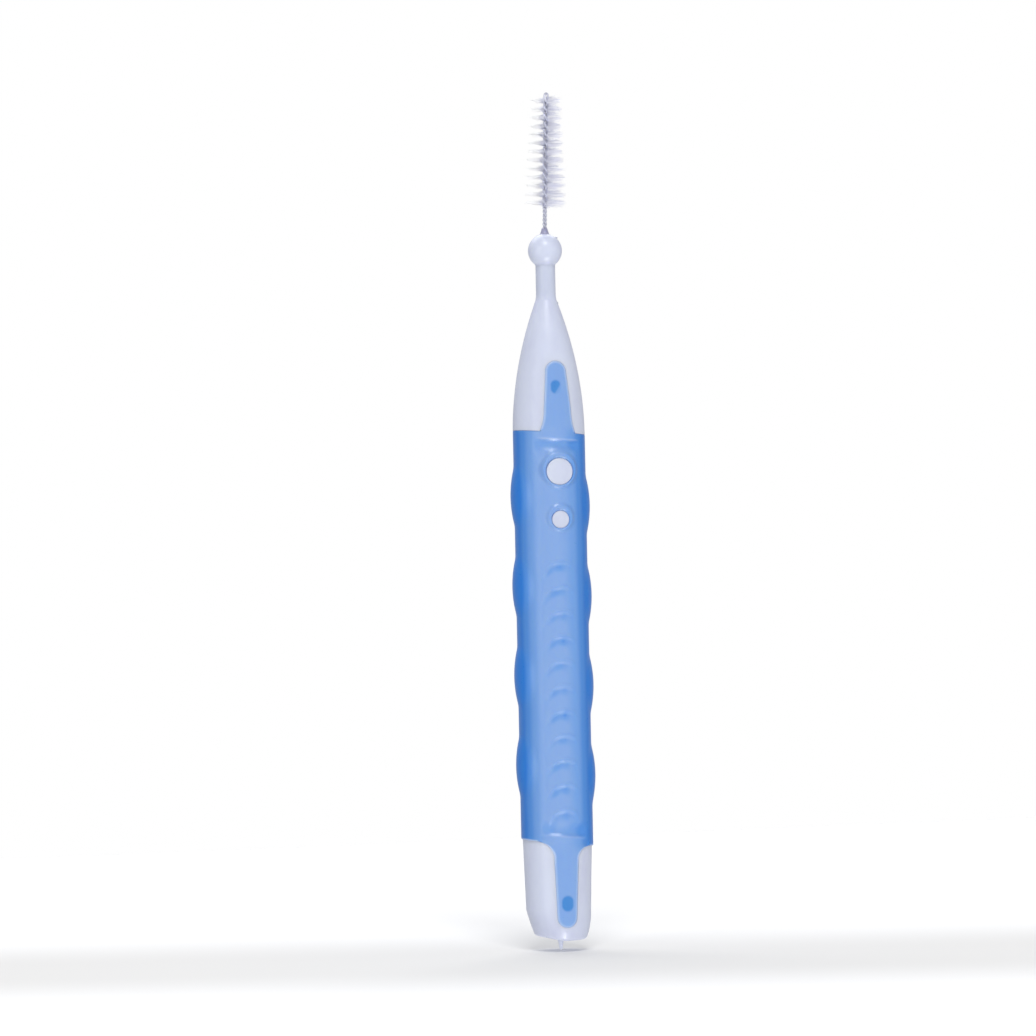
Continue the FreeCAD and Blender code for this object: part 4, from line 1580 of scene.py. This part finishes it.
        # Painted highlights on the crests of the end grooves.
        crest = bell(np.abs(z) - self.groove_height - shade.glint_place, shade.glint_spread)
        glint = crest * face_share(np.arctan2(x, -y), *shade.glint_angles)
        outside = np.hypot(x, y) > PROFILE.spine_radius + shade.glint_margin
        strength = np.where(z > 0, shade.upper_glint, shade.lower_glint)
        return np.maximum(rim, strength * glint * outside)

    def row_heights(self) -> Array:
        """Heights of the rows of the barrel, closer together at its rounded ends.

        Returns:
            The heights, from the lower end to the upper.
        """
        half = PROFILE.grip_half
        flush = half - self.lip
        near = self.lip * np.sin(np.linspace(0.0, math.pi / 2, self.lip_rows)[1:-1])
        even = np.linspace(-flush, flush, self.rows)
        return np.unique(np.concatenate([[-half], -flush - near, even, flush + near, [half]]))

    def build(self) -> bpy.types.Object:
        """Make the sleeve and dress it.

        Returns:
            The finished piece.
        """
        work = MeshWork()
        z = self.row_heights()
        grid = work.add(self.barrel(z))
        work.quads(grid, closed=True)
        angles = self.column_angles(z[[0, -1]])
        inner = [work.add(self.inside_ring(angles[row], z[row])) for row in (0, -1)]
        work.quads(np.stack(inner), closed=True)
        self.close_end(work, grid[0], inner[0], LOWER_TONGUE)
        self.close_end(work, grid[-1], inner[1], UPPER_TONGUE)
        piece = work.build("grip_sleeve_moulding", weld=self.weld)
        piece.data.set_sharp_from_angle(angle=math.radians(self.crease))
        points = point_positions(piece.data)
        # The depth carries painted shade, and the rim carries painted highlights.
        store_attribute(piece.data, "depth", self.depth_with_painted_shade(points))
        store_attribute(piece.data, "plug", self.plug_share(points))
        store_attribute(piece.data, "rim", self.painted_highlights(points))
        PROFILE.slant_ends(piece.data)
        dress(piece, TintedElastomer().material())
        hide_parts("grip_sleeve")
        return piece


def twist_angle(half_turns: Array) -> Array:
    """Angle of one strand after some half twists, which run left-handed."""
    return -math.pi * np.asarray(half_turns, float)


def lean_brush(piece: bpy.types.Object, pivot: float = 42.9, degrees: float = 1.9) -> None:
    """Lean a piece of the brush sideways from the handle's axis, about the top of the ball."""
    place = Matrix.Translation((0.0, 0.0, pivot * MM))
    piece.data.transform(place @ Matrix.Rotation(math.radians(degrees), 4, "Y") @ place.inverted())


@dataclass
class BrushWire:
    """One steel wire, folded at the tip and twisted on itself round the filaments."""

    strand_radius: float = 0.12
    stem_offset: float = 0.125
    field_offset: float = 0.175
    offset_change: float = 0.6
    stem_pitch: float = 0.89
    field_pitch: float = 1.82
    field_start: float = 45.8
    field_half_turns: int = 13
    tail_length: float = 4.6
    loop_height: float = 0.42
    loop_swell: float = 0.28
    field_bareness: float = 0.3
    stem_bareness: float = 0.22
    stem_change: tuple = (-0.2, 0.3)
    loop_bareness: float = 0.7
    loop_change: tuple = (0.2, 0.45)
    steps_per_half_turn: int = 20
    loop_points: int = 26
    sides: int = 14

    def strand(self) -> Array:
        """Points along one strand, from its tail to the last filament.

        Returns:
            Coordinates, a row for each point.
        """
        step = 1.0 / self.steps_per_half_turn
        down = self.tail_length / (self.stem_pitch / 2)
        turns = np.arange(-math.floor(down / step), self.field_half_turns / step + 1) * step
        rise = np.where(turns < 0, self.stem_pitch / 2, self.field_pitch / 2)
        height = self.field_start + turns * rise
        share = smoothstep(-self.offset_change, self.offset_change, turns)
        offset = self.stem_offset + (self.field_offset - self.stem_offset) * share
        around = twist_angle(turns)
        return np.stack([offset * np.cos(around), offset * np.sin(around), height], axis=-1)

    def path(self) -> Array:
        """Points along the whole wire: up one strand, round the fold and down the other.

        Returns:
            Coordinates, a row for each point.
        """
        rising = self.strand()
        falling = rising[::-1] * (-1, -1, 1)
        top = rising[-1]
        turn = np.linspace(0.0, math.pi, self.loop_points)[1:-1]
        across = np.cos(turn) * (1.0 + self.loop_swell * np.sin(turn))
        height = top[2] + self.loop_height * np.sin(turn)
        fold = np.stack([top[0] * across, top[1] * across, height], axis=-1)
        return np.concatenate([rising, fold, falling])

    def rings(self, path: Array) -> Array:
        """Points round the wire, without twist from ring to ring.

        Args:
            path: points along the wire.
        Returns:
            Coordinates in rows and columns, a row for each point of the path.
        """
        course = np.gradient(path, axis=0)
        course /= np.linalg.norm(course, axis=1, keepdims=True)
        aside = np.zeros_like(path)
        aside[0] = np.cross(course[0], (0, 0, 1.0))
        for row in range(1, len(path)):
            kept = aside[row - 1] - course[row] * np.dot(aside[row - 1], course[row])
            aside[row] = kept / np.linalg.norm(kept)
        aside[0] /= np.linalg.norm(aside[0])
        above = np.cross(course, aside)
        turn = full_turn(self.sides)[None, :, None]
        ring = np.cos(turn) * aside[:, None] + np.sin(turn) * above[:, None]
        return path[:, None] + self.strand_radius * ring

    def bareness(self, height: Array) -> Array:
        """How bare of filaments the wire looks, most on the stem and at the fold.

        Args:
            height: heights of the points.
        Returns:
            Bareness of each point.
        """
        fold = self.field_start + self.field_half_turns * self.field_pitch / 2
        stem = 1.0 - smoothstep(*self.stem_change, height - self.field_start)
        loop = smoothstep(*self.loop_change, height - fold)
        return self.field_bareness + self.stem_bareness * stem + self.loop_bareness * loop

    def build(self) -> bpy.types.Object:
        """Make the wire and dress it.

        Returns:
            The finished piece.
        """
        path = self.path()
        work = MeshWork()
        work.tube(self.rings(path), (path[0], path[-1]))
        piece = work.build("brush_wire_twisted")
        store_attribute(piece.data, "bare", self.bareness(point_positions(piece.data)[:, 2]))
        lean_brush(piece)
        dress(piece, DrawnSteel().material())
        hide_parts("brush_wire")
        return piece


@dataclass
class BristleField:
    """Nylon filaments caught in the twist of the wire, trimmed to a slight taper."""

    wire: BrushWire
    per_half_turn: int = 32
    radius: float = 0.028
    reach_low: float = 2.35
    reach_high: float = 1.6
    angle_scatter: float = 0.1
    height_scatter: float = 0.025
    trim: tuple = (0.84, 1.03)
    bend_scatter: float = 0.05
    lift_scatter: float = 0.08
    tip_thinning: float = 0.3
    root_thickness: float = 0.6
    root_change: tuple = (0.05, 0.34)
    tip_rounding: float = 0.5
    # Painted light on the side lit from the left; the roots are painted darker than the tips.
    lit_from: tuple = (-0.96, 0.28, 0.0)
    lit_change: tuple = (0.1, 1.0)
    least_paleness: float = 0.1
    outer_paleness: float = 0.35
    lit_paleness: float = 0.6
    weld: float = 1e-5
    segments: int = 9
    sides: int = 5
    seed: int = 41

    def thickness(self, outward: Array) -> Array:
        """Radius along a filament, pinched by the wire at its root and thinner at its tip."""
        root = self.root_thickness + (1.0 - self.root_thickness) * smoothstep(*self.root_change, outward)
        return self.radius * (1.0 - self.tip_thinning * outward ** 3) * root

    def filament(self, work: MeshWork, draw: np.random.Generator, progress: float) -> None:
        """Add one filament, which crosses the wire and stands out on both sides.

        Args:
            work: where the points and faces go.
            draw: source of the scatter.
            progress: where the wire holds it, in half twists from the start of the field.
        """
        share = progress / self.wire.field_half_turns
        reach = self.reach_low + (self.reach_high - self.reach_low) * share
        around = float(twist_angle(progress + 0.5)) + draw.normal(0.0, self.angle_scatter)
        height = self.wire.field_start + progress * self.wire.field_pitch / 2
        height = height + draw.normal(0.0, self.height_scatter)
        ends = reach * draw.uniform(*self.trim, 2)
        bend = draw.normal(0.0, self.bend_scatter, 2)
        lift = draw.normal(0.0, self.lift_scatter, 2)
        along = np.array([math.cos(around), math.sin(around), 0.0])
        aside = np.array([-along[1], along[0], 0.0])
        spots = np.linspace(-1.0, 1.0, 2 * self.segments + 1)
        length, curl, rise = (np.where(spots < 0, pair[0], pair[1]) for pair in (ends, bend, lift))
        path = along * (spots * length)[:, None] + aside * (curl * spots ** 2)[:, None]
        path[:, 2] += height + rise * spots ** 2
        thick = self.thickness(np.abs(spots))
        turn = full_turn(self.sides)[:, None]
        ring = np.cos(turn) * aside + np.sin(turn) * np.array([0.0, 0.0, 1.0])
        tips = tuple(
            path[row] + along * sign * self.tip_rounding * thick[row]
            for row, sign in ((0, -1), (-1, 1))
        )
        work.tube(path[:, None] + thick[:, None, None] * ring, tips)

    def painted_light(self, points: Array) -> Array:
        """Painted light and shade of the filaments: paler towards their tips and on the lit side, darker
        at the roots by the wire.

        Args:
            points: coordinates, a row for each point.
        Returns:
            Paleness of each point.
        """
        outward = np.hypot(points[:, 0], points[:, 1]) / self.reach_low
        lit = smoothstep(*self.lit_change, points @ np.array(self.lit_from))
        return self.least_paleness + self.outer_paleness * outward + self.lit_paleness * lit

    def build(self) -> bpy.types.Object:
        """Make the filaments and dress them.

        Returns:
            The finished piece.
        """
        draw = np.random.default_rng(self.seed)
        work = MeshWork()
        for number in range(self.per_half_turn * self.wire.field_half_turns):
            self.filament(work, draw, (number + 0.5) / self.per_half_turn)
        piece = work.build("bristle_filaments", weld=self.weld)
        store_attribute(piece.data, "painted_light", self.painted_light(point_positions(piece.data)))
        lean_brush(piece)
        dress(piece, ClearNylon().material())
        nodes = [f"bristle_turn_{turn + 1:02d}" for turn in range(self.wire.field_half_turns)]
        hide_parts(*nodes)
        return piece


@dataclass
class Viewpoint:
    """Camera at the photograph's viewing angle, with its distances in metres."""

    azimuth: float = -16.0
    elevation: float = 0.0
    distance: float = 0.5
    frame_width: float = 0.1109
    middle_height: float = 0.01265
    axis_right: float = 0.00348
    roll: float = 1.2
    sensor: float = 36.0
    nearest: float = 0.01
    farthest: float = 20.0

    def build(self) -> bpy.types.Object:
        """Make the camera and use it for the scene.

        Returns:
            The camera's object.
        """
        turn = math.radians(self.azimuth)
        tilt = math.radians(self.elevation)
        level = math.cos(tilt)
        away = Vector((math.sin(turn) * level, -math.cos(turn) * level, math.sin(tilt)))
        right = Vector((math.cos(turn), math.sin(turn), 0.0))
        target = Vector((0.0, 0.0, self.middle_height)) - right * self.axis_right
        camera = bpy.data.cameras.new("viewpoint")
        camera.sensor_width = self.sensor
        camera.lens = self.sensor * self.distance / self.frame_width
        camera.clip_start = self.nearest
        camera.clip_end = self.farthest
        holder = bpy.data.objects.new("viewpoint", camera)
        bpy.context.scene.collection.objects.link(holder)
        look = (-away).to_track_quat("-Z", "Y").to_matrix().to_4x4()
        spin = Matrix.Rotation(-math.radians(self.roll), 4, "Z")
        holder.matrix_world = Matrix.Translation(target + away * self.distance) @ look @ spin
        bpy.context.scene.camera = holder
        return holder


@dataclass(frozen=True)
class Softbox:
    """Soft rectangular light: its place, width and height in metres, and its power in watts."""

    name: str
    place: tuple
    size: tuple
    power: float

    def hang(self, toward: tuple) -> None:
        """Hang the light.

        Args:
            toward: the spot that it points at, in metres.
        """
        lamp = bpy.data.lights.new(self.name, "AREA")
        lamp.shape = "RECTANGLE"
        lamp.size, lamp.size_y = self.size
        lamp.energy = self.power
        holder = bpy.data.objects.new(self.name, lamp)
        holder.location = self.place
        course = Vector(toward) - Vector(self.place)
        holder.rotation_euler = course.to_track_quat("-Z", "Y").to_euler()
        bpy.context.scene.collection.objects.link(holder)


@dataclass
class Studio:
    """Pale floor, soft lights and a white surround. Only the floor's height is in millimetres."""

    floor_height: float = -33.71
    floor_half: float = 0.17
    floor_points: int = 13
    middle: tuple = (0.0, 0.0, 0.012)
    softboxes: tuple = (
        Softbox("upper_softbox", (-0.10, -0.45, 0.62), (0.26, 0.20), 2.6),
        Softbox("lower_softbox", (0.02, -0.36, -0.60), (0.24, 0.18), 2.3),
        Softbox("left_softbox", (-0.75, -0.45, 0.05), (0.30, 0.80), 1.3),
        Softbox("right_softbox", (0.66, -0.52, 0.05), (0.60, 0.80), 0.7),
        Softbox("back_softbox", (0.0, 0.45, 0.55), (1.0, 0.35), 2.6),
    )
    seen_colour: tuple = (1.0, 1.0, 1.0, 1.0)
    lit_colour: tuple = (0.96, 0.97, 1.0, 1.0)
    lit_strength: float = 0.52

    def floor(self) -> bpy.types.Object:
        """Make the floor.

        Returns:
            The floor, which only the camera sees.
        """
        work = MeshWork()
        side = np.linspace(-self.floor_half, self.floor_half, self.floor_points) / MM
        x, y = np.meshgrid(side, side)
        work.quads(work.add(np.stack([x, y, np.full_like(x, self.floor_height)], axis=-1)))
        piece = work.build("studio_floor")
        piece.data.materials.append(StudioWhite().material())
        for ray in ("diffuse", "glossy", "transmission", "shadow"):
            setattr(piece, f"visible_{ray}", False)
        return piece

    def world(self) -> None:
        """Surround the scene with white for the eye and a softer grey for the light."""
        world = bpy.data.worlds.new("surround")
        bpy.context.scene.world = world
        world.use_nodes = True
        nodes, links = world.node_tree.nodes, world.node_tree.links
        nodes.clear()
        seen = nodes.new("ShaderNodeBackground")
        seen.inputs["Color"].default_value = self.seen_colour
        lit = nodes.new("ShaderNodeBackground")
        lit.inputs["Color"].default_value = self.lit_colour
        lit.inputs["Strength"].default_value = self.lit_strength
        path = nodes.new("ShaderNodeLightPath")
        through = nodes.new("ShaderNodeMath")
        through.operation = "MAXIMUM"
        mix = nodes.new("ShaderNodeMixShader")
        output = nodes.new("ShaderNodeOutputWorld")
        links.new(path.outputs["Is Camera Ray"], through.inputs[0])
        links.new(path.outputs["Is Transmission Ray"], through.inputs[1])
        links.new(through.outputs[0], mix.inputs[0])
        links.new(lit.outputs[0], mix.inputs[1])
        links.new(seen.outputs[0], mix.inputs[2])
        links.new(mix.outputs[0], output.inputs["Surface"])

    def build(self) -> None:
        """Make the floor, the lights and the surround."""
        self.floor()
        for softbox in self.softboxes:
            softbox.hang(self.middle)
        self.world()
        bpy.context.scene.view_settings.view_transform = "Standard"


def main() -> None:
    """Build every piece of the brush and the studio round it."""
    logging.basicConfig(level=logging.INFO, format="%(message)s")
    Viewpoint().build()
    wire = BrushWire()
    for maker in (HandleCore(), GripSleeve(), wire, BristleField(wire)):
        piece = maker.build()
        counts = len(piece.data.vertices), len(piece.data.polygons)
        LOG.info("%s: %d points, %d faces", piece.name, *counts)
    Studio().build()


if __name__ == "__main__":
    main()
